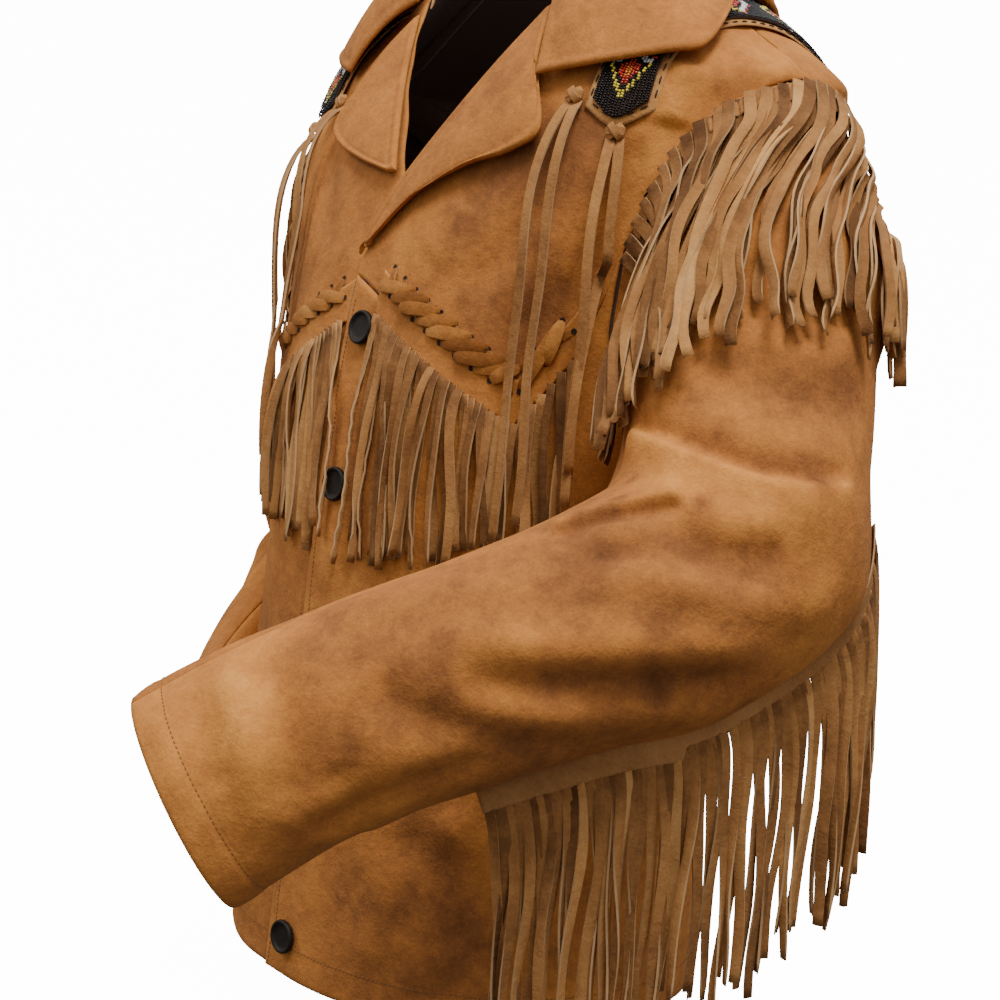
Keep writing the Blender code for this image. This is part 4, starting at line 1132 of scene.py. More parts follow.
cloth("back", 150, 110, folds("back", 3, .0012), patchy(31))
for side, word in ((1, "left"), (-1, "right")):
    s = 0 if side > 0 else 50
    cloth("front_" + word, 150, 84, folds("front_" + word, 5 + s),
          patchy(33 + s, table=PAINTED_SHADE_LEFT_FRONT if side > 0 else None, panel="front_left"))
    cloth("yoke_" + word, 120, 80, folds("yoke_" + word, 7 + s, .0007),
          patchy(35 + s, table=PAINTED_SHADE_LEFT_YOKE if side > 0 else None, panel="yoke_left"))
    cloth("sleeve_%s_top" % word, 250 if side > 0 else 160, 136 if side > 0 else 84,
          both(folds("sleeve_%s_top" % word, 9 + s, .0012), hem_line(.020)),
          patchy(37 + s, table=WEAR_AND_PAINTED_SHADE_LEFT_SLEEVE if side > 0 else None, panel="sleeve_left_top"))
    cloth("sleeve_%s_under" % word, 130, 64, both(folds("sleeve_%s_under" % word, 11 + s, .0012), hem_line(.020)), patchy(39 + s))
    cloth("lapel_" + word, 70, 44, lambda p, n, s=s: .0008 * grain_field(p, 61 + s), patchy(41 + s, .25),
          puff=.0007, mats=[BODY, BODY, BODY], extra=.0004)
cloth("collar", 60, 190, folds("collar", 13, .0008), patchy(43, .25), puff=.0007, mats=[BODY, BODY, BODY], extra=.0004)
cloth("collar_stand", 14, 120, lambda p, n: .0003 * grain_field(p, 15), patchy(45, .2), mats=[BODY, BODY, CUT])
for word in ("left", "right"):
    cloth("bead_back_" + word, 110, 22, lambda p, n: .0002 * grain_field(p, 17), patchy(47, .2), mats=[HEADER, HEADER, CUT])

def loose_cloth(name, rows, cols, slot, *nodes, mats=None, tone=None, puff=0.0):
    """A small strip of cloth that isn't a node of its own."""
    g, thick, outward = grids[name]
    grids.setdefault(name, (g, thick, outward))
    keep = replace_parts
    g2 = fine(g, rows, cols)
    n = grid_normals(g2, outward)
    e = edge_distance(g2)
    t = thick * (.6 + .4 * np.clip(e / .0015, 0, 1) ** .5) + puff * np.exp(-((e - .002) / .0015) ** 2)
    outer = g2 + n * t[..., None]
    r, c = g2.shape[:2]
    i = np.arange(r * c).reshape(r, c)
    q = np.stack([i[:-1, :-1], i[:-1, 1:], i[1:, 1:], i[1:, :-1]], -1).reshape(-1, 4)
    m = r * c
    k = (r // 2, c // 2)
    flip = np.cross(outer[k[0], k[1] + 1] - outer[k], outer[k[0] + 1, k[1]] - outer[k]) @ n[k] < 0
    top = q[:, ::-1] if flip else q
    under = (q if flip else q[:, ::-1]) + m
    loop = np.r_[i[0, :], i[1:, -1], i[-1, -2::-1], i[-2:0:-1, 0]]
    nxt = np.roll(loop, -1)
    rim = np.stack([loop, loop + m, nxt + m, nxt], -1)
    if flip:
        rim = rim[:, ::-1]
    tt = (tone(g2) if tone else np.zeros((r, c))) + .4 * np.exp(-e / .0012)
    obj = build(name + "_cloth", np.concatenate([outer.reshape(-1, 3), g2.reshape(-1, 3)]),
                np.concatenate([top, under, rim]).tolist(), mats or [HEADER, HEADER, CUT],
                np.r_[np.zeros(len(top)), np.ones(len(under)), np.full(len(rim), 2)], tone=np.r_[tt.ravel(), tt.ravel()])
    put(obj, slot, *nodes)
    outer_sides[name] = (outer, n)
    piece[name] = obj
    return obj


def tape(name, grid, outward, rows=8, cols=60):
    """A lining tape over a seam, inside the jacket."""
    grids[name] = (np.asarray(grid, float), .0008, np.asarray(outward, float))
    return loose_cloth(name, rows, cols, "suede", mats=[LINING, LINING, LINING])


for side, word in ((1, "left"), (-1, "right")):
    turns = np.linspace(0, 2 * np.pi, 65)
    th, z = armhole(turns, side)
    mid_z, mid_t = -.20, side * np.pi / 2
    wide_t, wide_z = mid_t + (th - mid_t) * 1.12, mid_z + (z - mid_z) * 1.07
    s0 = sleeve(SLEEVE_LEFT if side > 0 else SLEEVE_RIGHT, side, turns)
    in0 = s0[0] + (s0[0].mean(axis=0) - s0[0]) * .030 - np.array([side * .0012, 0, 0])
    in1 = s0[0] * .55 + s0[1] * .45
    in1 = in1 + (in1.mean(axis=0) - in1) * .035
    tape("armhole_tape_" + word, [skin(wide_t, wide_z, -.0016), skin((wide_t + th) / 2, (wide_z + z) / 2, -.0022), in0, in1],
         (-side, 0, 0), 12, 130)
    zs = np.linspace(-.001, ARM_TOP, 12)
    tape("shoulder_tape_" + word, [skin(side * (np.pi / 2 + o), zs, -.0013) for o in (-.05, 0, .05)], (0, 0, -1), 5, 40)
    zs = np.linspace(ARM_LOW + .002, HEM_Z + .002, 12)
    tape("side_tape_" + word, [skin(side * (np.pi / 2 + o), zs, -.0013) for o in (-.04, 0, .04)], (-side, 0, 0), 5, 60)
    t = np.array(YOKE)
    xs = np.linspace(-.018 if side > 0 else .0, .156, 40) * side
    zy = np.interp(xs * side, t[:, 0], t[:, 1])
    deep = -.0013 - (TUCK if side < 0 else 0) * np.clip((xs + .060) / .032, 0, 1)
    tape("yoke_tape_" + word, [skin(angle_at(xs, zy + o), zy + o, deep) for o in (-.006, 0, .006)], (0, 1, 0), 5, 60)

    mid = s0.mean(axis=1)
    for seam, at in (("hind", 0.0), ("fore", np.pi)):
        g = sleeve(SLEEVE_LEFT if side > 0 else SLEEVE_RIGHT, side, np.array([at - .10, at, at + .10]))
        g = g + (mid[:, None] - g) / np.linalg.norm(mid[:, None] - g, axis=2)[..., None] * .0021
        g = g[1:]
        g[-1] = g[-1] * .55 + g[-2] * .45
        tape("%s_tape_%s" % (seam, word), g.transpose(1, 0, 2), g[len(g) // 2, 1] - mid[1 + len(g) // 2], 5, 110)

body_tree = tree_of("back", "front_left", "front_right", "yoke_left", "yoke_right")
left_tree = tree_of("sleeve_left_top", "sleeve_left_under")
right_tree = tree_of("sleeve_right_top", "sleeve_right_under")
all_tree = tree_of("back", "front_left", "front_right", "yoke_left", "yoke_right", "sleeve_left_top",
                   "sleeve_left_under", "sleeve_right_top", "sleeve_right_under")


# ---------------------------------------------------------------- strands
class Ribbons:
    """Flat suede strips, joined in one mesh: faces, pale cut edges and ends."""

    def __init__(self):
        self.verts, self.faces, self.index, self.tone, self.count = [], [], [], [], 0

    def add(self, centres, wide, flat, width, thick, tone, curl=.0):
        n = len(centres)
        w = np.asarray(width) if np.ndim(width) else np.full(n, width)
        t = np.full(n, thick)
        t[-1] *= .6
        s = np.linspace(0, 1, n)
        bow = (w * curl * np.clip(s * 6, 0, 1))[:, None] * flat
        a = centres + wide * (w / 2)[:, None] + flat * (t / 2)[:, None]
        m = centres + bow + flat * (t / 2)[:, None]
        b = centres - wide * (w / 2)[:, None] + flat * (t / 2)[:, None]
        c = centres - wide * (w / 2)[:, None] - flat * (t / 2)[:, None]
        k = centres + bow - flat * (t / 2)[:, None]
        d = centres + wide * (w / 2)[:, None] - flat * (t / 2)[:, None]
        ring = np.stack([a, m, b, c, k, d], 1).reshape(-1, 3)
        base = self.count
        self.verts.append(ring)
        for q in range(n - 1):
            p, r = base + 6 * q, base + 6 * q + 6
            for j in range(6):
                self.faces.append((p + j, p + (j + 1) % 6, r + (j + 1) % 6, r + j))
                self.index.append(1 if j in (2, 5) else 0)
        self.faces.append(tuple(base + j for j in (5, 4, 3, 2, 1, 0)))
        e = base + 6 * (n - 1)
        self.faces.append(tuple(e + j for j in range(6)))
        self.index += [1, 1]
        self.tone.append(np.repeat(np.broadcast_to(tone, n), 6))
        self.count += 6 * n

    def finish(self, name, slot, *nodes, mats=None):
        v = np.concatenate(self.verts)
        obj = build(name, v, self.faces, mats or [STRIP, CUT], self.index, tone=np.concatenate(self.tone),
                    sharp=lambda e: (np.abs(e[:, 0] - e[:, 1]) == 6) & np.isin(e[:, 0] % 6, (0, 2, 3, 5)))
        return put(obj, slot, *nodes)


DOWN = np.array([0.0, 0.0, -1.0])


def hang(start, go, across, length, rng, tree, clear=.0016, stiff=.72, step=.0065, lean=(0, 0, 0), twist=1.0, sway=.10,
         width=.0068, near=.05, second=None):
    """A strip that leaves start along go and falls, lying on the cloth where it meets it."""
    n = max(4, int(length / step))
    h = length / n
    p = np.array(start, float)
    d = np.array(go, float)
    d /= np.linalg.norm(d)
    w = np.array(across, float)
    w -= d * (w @ d)
    w /= np.linalg.norm(w)
    phase = rng.uniform(0, 6.28, 3)
    rate = rng.normal(0, 1.0) * twist
    pts, wides, flats = [], [], []
    free_for = 0.0
    for k in range(n + 1):
        s = k * h
        pts.append(p.copy())
        spin = rate * s * 9 + .30 * twist * math.sin(s * 42 + phase[0])
        on = min(1.0, free_for / .02)
        f = np.cross(d, w)
        ang = spin * (.45 + .55 * on)
        ww = w * math.cos(ang) + f * math.sin(ang)
        wides.append(ww)
        flats.append(np.cross(ww, d))
        pull = DOWN + np.array(lean)
        waver = w * sway * math.sin(s * 55 + phase[1]) + f * sway * .6 * math.sin(s * 38 + phase[2])
        d = d * stiff + (pull + waver) * (1 - stiff)
        d /= np.linalg.norm(d)
        q = p + d * h
        touched = False
        for t in ((tree,) if second is None else (tree, second)):
            co, no, _, dist = t.find_nearest(Vector(q), near)
            if co is not None:
                co, no = np.array(co), np.array(no)
                gap = (q - co) @ no
                need = clear + .42 * width * abs(math.sin(ang)) * .8
                if gap < need and dist < near:
                    q = co + no * need
                    touched = True
                    back = w - no * (w @ no)
                    if np.linalg.norm(back) > .2:
                        w = .8 * w + .2 * back / np.linalg.norm(back)
        d = q - p
        d /= np.linalg.norm(d)
        w -= d * (w @ d)
        w /= np.linalg.norm(w)
        free_for = 0.0 if touched else free_for + h
        p = q
    return np.array(pts), np.array(wides), np.array(flats)


def fringe(ribbons, heads, goes, acrosses, lengths, seed, tree, width=(.0058, .0078), thick=.0013, lift=.0035,
           spread=.022, **how):
    rng = np.random.default_rng(seed)
    for k, (start, go, across, length) in enumerate(zip(heads, goes, acrosses, lengths)):
        wid = rng.uniform(*width)
        clear = .0011 + lift * rng.uniform(0, 1) ** 1.3
        length = length * rng.uniform(.90, 1.04)
        lean = np.array(how.get("lean", (0, 0, 0))) + rng.normal(0, spread, 3) * (1, 1, 0)
        rest = {a: b for a, b in how.items() if a != "lean"}
        c, w, f = hang(start, go, across, length, rng, tree, clear=clear, lean=lean, width=wid, **rest)
        s = np.linspace(0, 1, len(c))
        # The first part of each strand, where it runs under its header, is darker: painted shade.
        tone = rng.normal(0, .35) + .25 * np.sin(s * rng.uniform(3, 9) + rng.uniform(0, 6)) - .25 * (s < .08)
        ww = wid * (1 - .10 * s + .05 * np.sin(s * 20 + rng.uniform(0, 6)))
        # suede strips curl lengthwise, each its own way
        ribbons.add(c, w, f, ww, thick, tone, curl=rng.choice((-1, 1), p=(.35, .65)) * rng.uniform(.04, .26))


def at_share(g, u, v):
    """A point of a fine grid by shares across and down it."""
    r, c = g.shape[:2]
    y, x = v * (r - 1), u * (c - 1)
    i, j = min(int(y), r - 2), min(int(x), c - 2)
    a, b = y - i, x - j
    return (g[i, j] * (1 - a) * (1 - b) + g[i, j + 1] * (1 - a) * b + g[i + 1, j] * a * (1 - b) + g[i + 1, j + 1] * a * b)


# yoke header strips, their strands and their lacing
def yoke_line(x):
    t = np.array(YOKE)
    return np.interp(x, t[:, 0], t[:, 1])


HEADER_UP, HEADER_DOWN = .0185, -.0110
FOOT = ((-.030, -.412), (.018, -.412), (.050, -.410), (.080, -.402), (.100, -.398), (.124, -.392), (.145, -.384), (.160, -.380))
for side, word in ((1, "left"), (-1, "right")):
    x0 = .010 if side > 0 else .024
    xs = np.linspace(x0, .154, 120)
    drop = np.linspace(HEADER_UP, HEADER_DOWN, 20)[:, None]
    # the lower edge is cut between the strands, so it is scalloped
    scallop = .0016 * np.abs(np.sin(np.pi * (xs - x0) / .0060))[None, :] * (np.linspace(0, 1, 20)[:, None] ** 6)
    gx = np.broadcast_to(xs, (20, 120)) * side
    gz = yoke_line(np.abs(gx) * 1.0 if side < 0 else gx) + drop + scallop
    theta = angle_at(gx, gz)
    lift = CLOTH + .0006
    if side < 0:
        q = np.clip((gx + .060) / .032, 0, 1)
        lift = lift - TUCK * q * q * (3 - 2 * q)
    base = skin(theta, gz, lift)
    grids["header_" + word] = (base, .0013, np.array([side * .3, -1, 0]))
    g = base
    n = grid_normals(g, np.array([side * .3, -1, 0.0]))
    # stand on whatever folds the front has
    for i in range(g.shape[0]):
        for j in range(g.shape[1]):
            co, no, _, dist = body_tree.find_nearest(Vector(g[i, j]), .02)
            if co is not None:
                gap = (g[i, j] - np.array(co)) @ np.array(no)
                if gap < .0006:
                    g[i, j] = g[i, j] + n[i, j] * (.0006 - gap)
    grids["header_" + word] = (g, .0013, np.array([side * .3, -1, 0.0]))

    ribbons = Ribbons()
    count = 33 if side > 0 else 23
    hx = np.linspace(x0 + .003, .150 if side > 0 else .120, count)
    hz = yoke_line(hx) + HEADER_DOWN + .0022
    foot = np.array(FOOT)
    heads = skin(angle_at(side * hx, hz), hz, CLOTH + .0022)
    goes = np.repeat([[0, 0, -1.0]], count, axis=0)
    acrosses = np.repeat([[1.0, 0, 0]], count, axis=0) + np.array([0, .25 * side, 0])
    lengths = (hz - np.interp(hx, foot[:, 0], foot[:, 1])) * 1.03
    fringe(ribbons, heads, goes, acrosses, lengths, 101 + side, body_tree, lift=.0042, sway=.13, twist=1.0,
           lean=(.045 if side > 0 else .10, 0, 0), width=(.0050, .0068), spread=.034)
    ribbons.finish("yoke_fringe_" + word, "fringe_suede", "fringe_yoke_" + word)


for word in ("left", "right"):
    loose_cloth("header_" + word, 20, 120, "suede", tone=patchy(71, .3), mats=[BODY, BODY, CUT])

lace_tree = tree_of("header_left", "header_right", "yoke_left", "yoke_right", "front_left", "front_right")


def drop_on(tree, p, lift=0.0):
    co, no, _, _ = tree.find_nearest(Vector(p))
    co, no = np.array(co), np.array(no)
    return co + no * lift, no


def strap(ribbons, a, b, na, nb, width, rise, thick, tone, n=11, curl=.0):
    """A thong between two holes: flat on the cloth, arched over its middle."""
    t = np.linspace(0, 1, n)[:, None]
    up = (na + nb) / 2
    c = a * (1 - t) + b * t + up * (rise * np.sin(np.pi * t) ** .7 - .0012 * (1 - np.sin(np.pi * t) ** .4))
    d = np.gradient(c, axis=0)
    d /= np.linalg.norm(d, axis=1)[:, None]
    w = np.cross(up, d)
    w /= np.linalg.norm(w, axis=1)[:, None]
    f = np.cross(d, w)
    ww = width * (.50 + .50 * np.sin(np.pi * t[:, 0]) ** .6)
    ribbons.add(c, w, f, ww, thick, tone, curl=curl)


def disc(bag, centre, normal, r, mats_index=0, sides=10, squash=None):
    """A lacing hole drawn as painted shade: a small, shallow dished dark disc on the cloth."""
    u = np.cross(normal, (0, 0, 1.0))
    u /= np.linalg.norm(u)
    v = np.cross(normal, u)
    a = np.linspace(0, 2 * np.pi, sides, endpoint=False)
    sq = 1.0 if squash is None else squash
    ring = centre + np.cos(a)[:, None] * u * r + np.sin(a)[:, None] * v * r * sq + normal * .0002
    base = bag["n"]
    bag["v"] += [*ring, centre - normal * .0001]
    bag["f"] += [(base + i, base + (i + 1) % sides, base + sides) for i in range(sides)]
    bag["n"] += sides + 1


holes = {"v": [], "f": [], "n": 0}
for side, word in ((1, "left"), (-1, "right")):
    ribbons = Ribbons()
    rng = np.random.default_rng(300 + side)
    runs = ((.010 if side > 0 else .030, .1210, 10 if side > 0 else 8), (.1260, .150, 3))
    for k, (xa, xb, count) in enumerate(runs):
        x = np.linspace(xa, xb, count)
        if k:
            x = x[1:] if False else x
        lo, hi = [], []
        for i, q in enumerate(x):
            zl = yoke_line(q) + .0085
            shift = .0085 if k == 0 else -.0060
            pl, nl = drop_on(lace_tree, skin(float(angle_at(side * q, zl)), zl, .004), .0004)
            qh = min(q + shift, .1235) if k == 0 else max(q + shift, .1235)
            zh = yoke_line(qh) + .0255
            ph, nh = drop_on(lace_tree, skin(float(angle_at(side * qh, zh)), zh, .004), .0004)
            lo.append((pl, nl))
            hi.append((ph, nh))
            disc(holes, pl, nl, .0019)
            disc(holes, ph, nh, .0019)
        for i in range(count - 1):
            tone = rng.normal(.15, .25)
            j = rng.normal(0, .0006, 3)
            # the thong goes up and over to the next hole but one, and comes back under itself
            far = min(i + 2, count - 1)
            # The part that goes back under is given a darker tone: painted shade beneath the crossing thong.
            strap(ribbons, hi[i][0], lo[i + 1][0], hi[i][1], lo[i + 1][1], .0050, .0008, .0013, rng.normal(-.5, .2))
            strap(ribbons, lo[i][0] + j, hi[far][0] + j, lo[i][1], hi[far][1], .0088, .0034, .0014, tone - .25, curl=.14)
    ribbons.finish("yoke_lacing_" + word, "fringe_suede", mats=[LACE, CUT])
hole_obj = build("lacing_holes", np.array(holes["v"]), holes["f"], [PAINTED_HOLE_SHADE], smooth=True)
put(hole_obj, "fringe_suede")

def lie(o, nn, u0, v0, length, rng, drift, clear, step=.0065, twist=1.0):
    """A strand that lies down a panel, wavering, a little off the cloth, its tail lifting."""
    n = max(6, int(length / step))
    j = int(np.clip(u0, 0, 1) * (o.shape[1] - 1))
    column = np.linalg.norm(np.diff(o[:, j], axis=0), axis=1).sum()
    broad = np.linalg.norm(np.diff(o[o.shape[0] // 8], axis=0), axis=1).sum()
    ph = rng.uniform(0, 6.28, 5)
    amp = rng.uniform(.1, 1.0) * .0034
    s = np.arange(n + 1) * (length / n)
    way = s / length
    uu = u0 + drift * way ** 1.35 + (amp * np.sin(s * rng.uniform(18, 40) + ph[0]) * np.clip(way * 3, 0, 1)
                                    + .0018 * np.sin(s * 110 + ph[1]) * way) / broad
    off = clear + .0022 * (1 + np.sin(s * rng.uniform(30, 60) + ph[2])) * np.clip(way * 4, 0, 1) + rng.uniform(0, .007) * way ** 2
    pts, norms = [], []
    for k in range(n + 1):
        u = float(np.clip(uu[k], 0, 1))
        v = v0 + s[k] / column
        norms.append(at_share(nn, u, v))
        q = at_share(o, u, v) + norms[-1] * off[k]
        if uu[k] > 1 or uu[k] < 0:
            side_way = at_share(o, 1, v) - at_share(o, .97, v) if uu[k] > 1 else at_share(o, 0, v) - at_share(o, .03, v)
            q = q + side_way / np.linalg.norm(side_way) * abs(uu[k] - u) * broad
        pts.append(q)
    pts, norms = np.array(pts), np.array(norms)
    norms /= np.linalg.norm(norms, axis=1)[:, None]
    d = np.gradient(pts, axis=0)
    d /= np.linalg.norm(d, axis=1)[:, None]
    w = np.cross(norms, d)
    w /= np.linalg.norm(w, axis=1)[:, None]
    ang = (rng.normal(0, .8) * way + rng.uniform(.1, .7) * np.sin(s * rng.uniform(20, 40) + ph[3])) * twist * np.clip(way * 3.5, 0, 1)
    ww = w * np.cos(ang)[:, None] + np.cross(d, w) * np.sin(ang)[:, None]
    pts = pts + norms * (np.abs(np.sin(ang)) * .0026)[:, None]
    return pts, ww, np.cross(ww, d)


# armhole fringe: strands out of the armhole seam, over the head of the sleeve
for side, word, tree in ((1, "left", left_tree), (-1, "right", right_tree)):
    ribbons = Ribbons()
    top, ntop = outer_sides["sleeve_%s_top" % word]
    under, nunder = outer_sides["sleeve_%s_under" % word]
    count = 62
    # turn 0 of the top sleeve is its hind seam, and the share goes over the shoulder to the fore seam
    shares = np.linspace(.012, .988, count)
    rng = np.random.default_rng(500 + side)
    for k, u in enumerate(shares):
        u = float(np.clip(u + rng.normal(0, .003), 0, 1))
        z = at_share(top, u, .006)[2]
        length = (.208 if z > -.13 else .200 if z > -.2 else .180) * (1 if side > 0 else .86)
        length *= rng.uniform(.86, 1.0)
        wid = rng.uniform(.0062, .0086)
        drift = (.045 if u > .55 else .0 + .045 * max(0, (u - .3) / .25)) + rng.normal(0, .026)
        c, w, f = lie(top, ntop, u, .008, length, rng, drift, .0016 + (.0030 if k % 2 else 0) + rng.uniform(0, .0016))
        s_ = np.linspace(0, 1, len(c))
        # Darker at the root, under the header: painted shade.
        tone = rng.normal(0, .35) + .25 * np.sin(s_ * rng.uniform(3, 9) + rng.uniform(0, 6)) - .45 * np.exp(-((s_ - .02) / .05) ** 2)
        ribbons.add(c, w, f, wid * (1 - .12 * s_ + .05 * np.sin(s_ * 20 + rng.uniform(0, 6))), .0013, tone,
                    curl=rng.choice((-1, 1), p=(.35, .65)) * rng.uniform(.04, .26))
    # the header that the strands are cut from, folded into the seam
    h = []
    for k in range(7):
        h.append([at_share(top, u, .003 + .0052 * k) + at_share(ntop, u, .003 + .0052 * k)
                  * (.0012 + .0020 * math.sin(k / 6 * 1.6) + .0013 * math.sin(u * 62 * 6.283) * k / 6)
                  for u in np.linspace(.004, .996, 400)])
    grids["arm_header_" + word] = (np.array(h), .0013, ntop[ntop.shape[0] // 12, ntop.shape[1] // 2])
    loose_cloth("arm_header_" + word, 12, 420, "fringe_suede", tone=patchy(73, .3), mats=[STRIP, STRIP, CUT])
    ribbons.finish("armhole_fringe_" + word, "fringe_suede", "fringe_armhole_" + word)

# sleeve fringe: a header in the hind seam, strands straight down
for side, word, tree in ((1, "left", left_tree), (-1, "right", right_tree)):
    top, ntop = outer_sides["sleeve_%s_top" % word]
    seam = top[:, 0]
    d = np.r_[0, np.cumsum(np.linalg.norm(np.diff(seam, axis=0), axis=1))]
    first, last = (.285, .577) if side > 0 else (.262, .425)
    stations = np.linspace(first, last, 150)
    line = np.stack([np.interp(stations, d, seam[:, i]) for i in range(3)], -1)
    nn = np.stack([np.interp(stations, d, ntop[:, 0, i]) for i in range(3)], -1)
    run = np.gradient(line, axis=0)
    run /= np.linalg.norm(run, axis=1)[:, None]
    hang_dir = DOWN - run * (run @ DOWN)[:, None]
    hang_dir /= np.linalg.norm(hang_dir, axis=1)[:, None]
    rows = 8
    deep = .0100 + .0075 / (1 + np.exp(-(stations - (last - .115 if side > 0 else last)) / .0006))
    base = np.array([line + nn * .0006 + hang_dir * (-.0045 + deep * k / (rows - 1))[:, None] + nn * .0012 for k in range(rows)])
    out_dir = nn.mean(axis=0)
    grids["arm_strip_" + word] = (base, .0013, out_dir)
    loose_cloth("arm_strip_" + word, 12, 150, "fringe_suede", tone=patchy(75, .3), mats=[ARM_HEADER, ARM_HEADER, CUT])
    ribbons = Ribbons()
    count = int((last - first) / .0046)
    idx = np.linspace(2, 147, count).astype(int)
    heads = base[-1][idx] - hang_dir[idx] * .0022 + nn[idx] * .0006
    length = (.160 if side > 0 else .150)
    fringe(ribbons, heads, hang_dir[idx], run[idx], np.full(count, length), 900 + side, tree, lift=.004, sway=.10, twist=1.0,
           stiff=.70, width=(.0050, .0068), second=body_tree, spread=.026)
    ribbons.finish("sleeve_fringe_" + word, "fringe_suede", "fringe_sleeve_" + word)

# ---------------------------------------------------------------- knotted thongs
thong_tree = tree_of("back", "front_left", "front_right", "yoke_left", "yoke_right", "header_left", "header_right",
                     "bead_back_left", "bead_back_right")
for side, word in ((1, "left"), (-1, "right")):
    for name, kx, kz, ex, ez in TIES:
        rng = np.random.default_rng(int(1000 + 10 * side + 3 * len(name)))
        ribbons = Ribbons()
        th = float(angle_at(side * kx, kz))
        knot, kn = drop_on(thong_tree, skin(th, kz, .006), .0030)
        side_dir = np.cross((0, 0, 1.0), kn)
        side_dir /= np.linalg.norm(side_dir)
        down = np.cross(kn, side_dir)
        down = down if down[2] < 0 else -down
        for k, off in enumerate((-.0042, .0042)):
            start = knot + side_dir * off * .6 + down * .003
            long = (kz - ez) * (1.02 if k == 0 else .97)
            c, w, f = hang(start, down + side_dir * off * 30, side_dir, long, rng, thong_tree, clear=.0070, stiff=.80,
                           sway=.10, twist=.35, width=.0062, lean=(0, -.02, 0) if side > 0 else (.17, -.03, 0), step=.0075)
            s = np.linspace(0, 1, len(c))
            ribbons.add(c, w, f, .0062 * (1 - .06 * s), .0015, .2 * np.sin(s * 9 + k) + .1, curl=.16)
        # the knot: a few short turns of the same thong
        for k, (tilt, rise, wide) in enumerate(((0.0, .0040, .0060), (.9, .0052, .0050), (-.8, .0034, .0055))):
            a = np.linspace(-1.9, 1.9, 11)
            dirn = side_dir * math.cos(tilt) + down * math.sin(tilt)
            other = np.cross(kn, dirn)
            c = knot + kn * (.0006 + rise * np.cos(a / 1.35)[:, None] * .9) + dirn * (.0058 * np.sin(a / 1.3))[:, None]
            dd = np.gradient(c, axis=0)
            dd /= np.linalg.norm(dd, axis=1)[:, None]
            w = np.cross(kn, dd)
            w /= np.linalg.norm(w, axis=1)[:, None]
            ribbons.add(c, w, np.cross(dd, w), wide * .8, .0015, .1 + .15 * k)
        ribbons.finish("tie_%s_%s_thongs" % (word, name), "fringe_suede", "tie_%s_%s" % (word, name))

# ---------------------------------------------------------------- beadwork
# Generic concentric diamonds on black, repeated down the strip.
# Each bead is the part of a short tube that stands above its thread.
bead_shape = []
for ring, z in ((.62, .50), (1.0, 0.0), (.62, -.50)):
    for k in range(4):
        a = math.radians(-20 + k * 220 / 3)
        bead_shape.append((ring * math.cos(a), ring * math.sin(a), z))
bead_shape += [(0, .1, .62), (0, .1, -.62)]
bead_shape = np.array(bead_shape)
bead_faces = []
for r in range(2):
    for k in range(3):
        a, b = r * 4 + k, r * 4 + k + 1
        bead_faces += [(a, a + 4, b), (b, a + 4, b + 4)]
for k in range(3):
    bead_faces.append((12, k, k + 1))
    bead_faces.append((13, 8 + k + 1, 8 + k))
bead_faces = np.array(bead_faces)
for side, word in ((1, "left"), (-1, "right")):
    g, thick, outward = grids["bead_strip_" + word]
    f = fine(g, 240, 34)
    n = grid_normals(f, outward)
    grids["bead_base_" + word] = (g, .0006, outward)
    loose_cloth("bead_base_" + word, 110, 16, "beadwork", mats=[THREAD_DARK, THREAD_DARK, THREAD_DARK])
    mid = f[:, 17]
    d = np.r_[0, np.cumsum(np.linalg.norm(np.diff(mid, axis=0), axis=1))]
    rows = int(d[-1] / .00175)
    rng = np.random.default_rng(1200 + side)
    v, fc, ix = [], [], []
    base = 0
    across_n = 16
    for r in range(rows):
        sv = (r + .5) / rows
        y = np.interp(sv * d[-1], d, np.arange(len(d))) / (len(d) - 1)
        for c in range(across_n):
            u = (c + .5) / across_n
            p = at_share(f, u, y)
            nn = at_share(n, u, y)
            run = at_share(f, u, min(1, y + .01)) - at_share(f, u, max(0, y - .01))
            run /= np.linalg.norm(run)
            ac = np.cross(nn, run)
            jit = rng.normal(0, .00010, 3)
            q = p + nn * (.0016 + .0001 * rng.normal()) + jit
            # concentric diamonds, from the strip's front end upward
            along_strip = sv * d[-1] - .030
            period = .050
            m = abs((along_strip + period / 2) % period - period / 2) / .0165
            x = abs(u - .5) * 2 / .80
            ring = m * .85 + x * .95
            upper = ((along_strip + period / 2) % period - period / 2) > 0
            if ring < .26:
                kind = 4
            elif ring < .52:
                kind = 3
            elif ring < .72:
                kind = 0
            elif ring < .98:
                kind = 1 if not upper else 2
            elif ring < 1.12 and upper:
                kind = 3 if (r // 2) % 2 else 0
            else:
                kind = 0
            s = .00098 * (1 + .06 * rng.normal())
            pts = q + bead_shape[:, 0:1] * run * s * .86 + bead_shape[:, 1:2] * nn * s * 1.0 + bead_shape[:, 2:3] * ac * s * 1.55
            v.append(pts)
            fc.append(bead_faces + base)
            ix.append(np.full(len(bead_faces), kind))
            base += len(bead_shape)
    obj = build("beadwork_" + word, np.concatenate(v), np.concatenate(fc).tolist(), BEAD_MATS, np.concatenate(ix), smooth=True)
    put(obj, "beadwork", "bead_strip_" + word)

# running stitches round the backings and stitch rows at cuffs, hems and fronts
stitches = {"dark": [[], [], 0], "tan": [[], [], 0]}


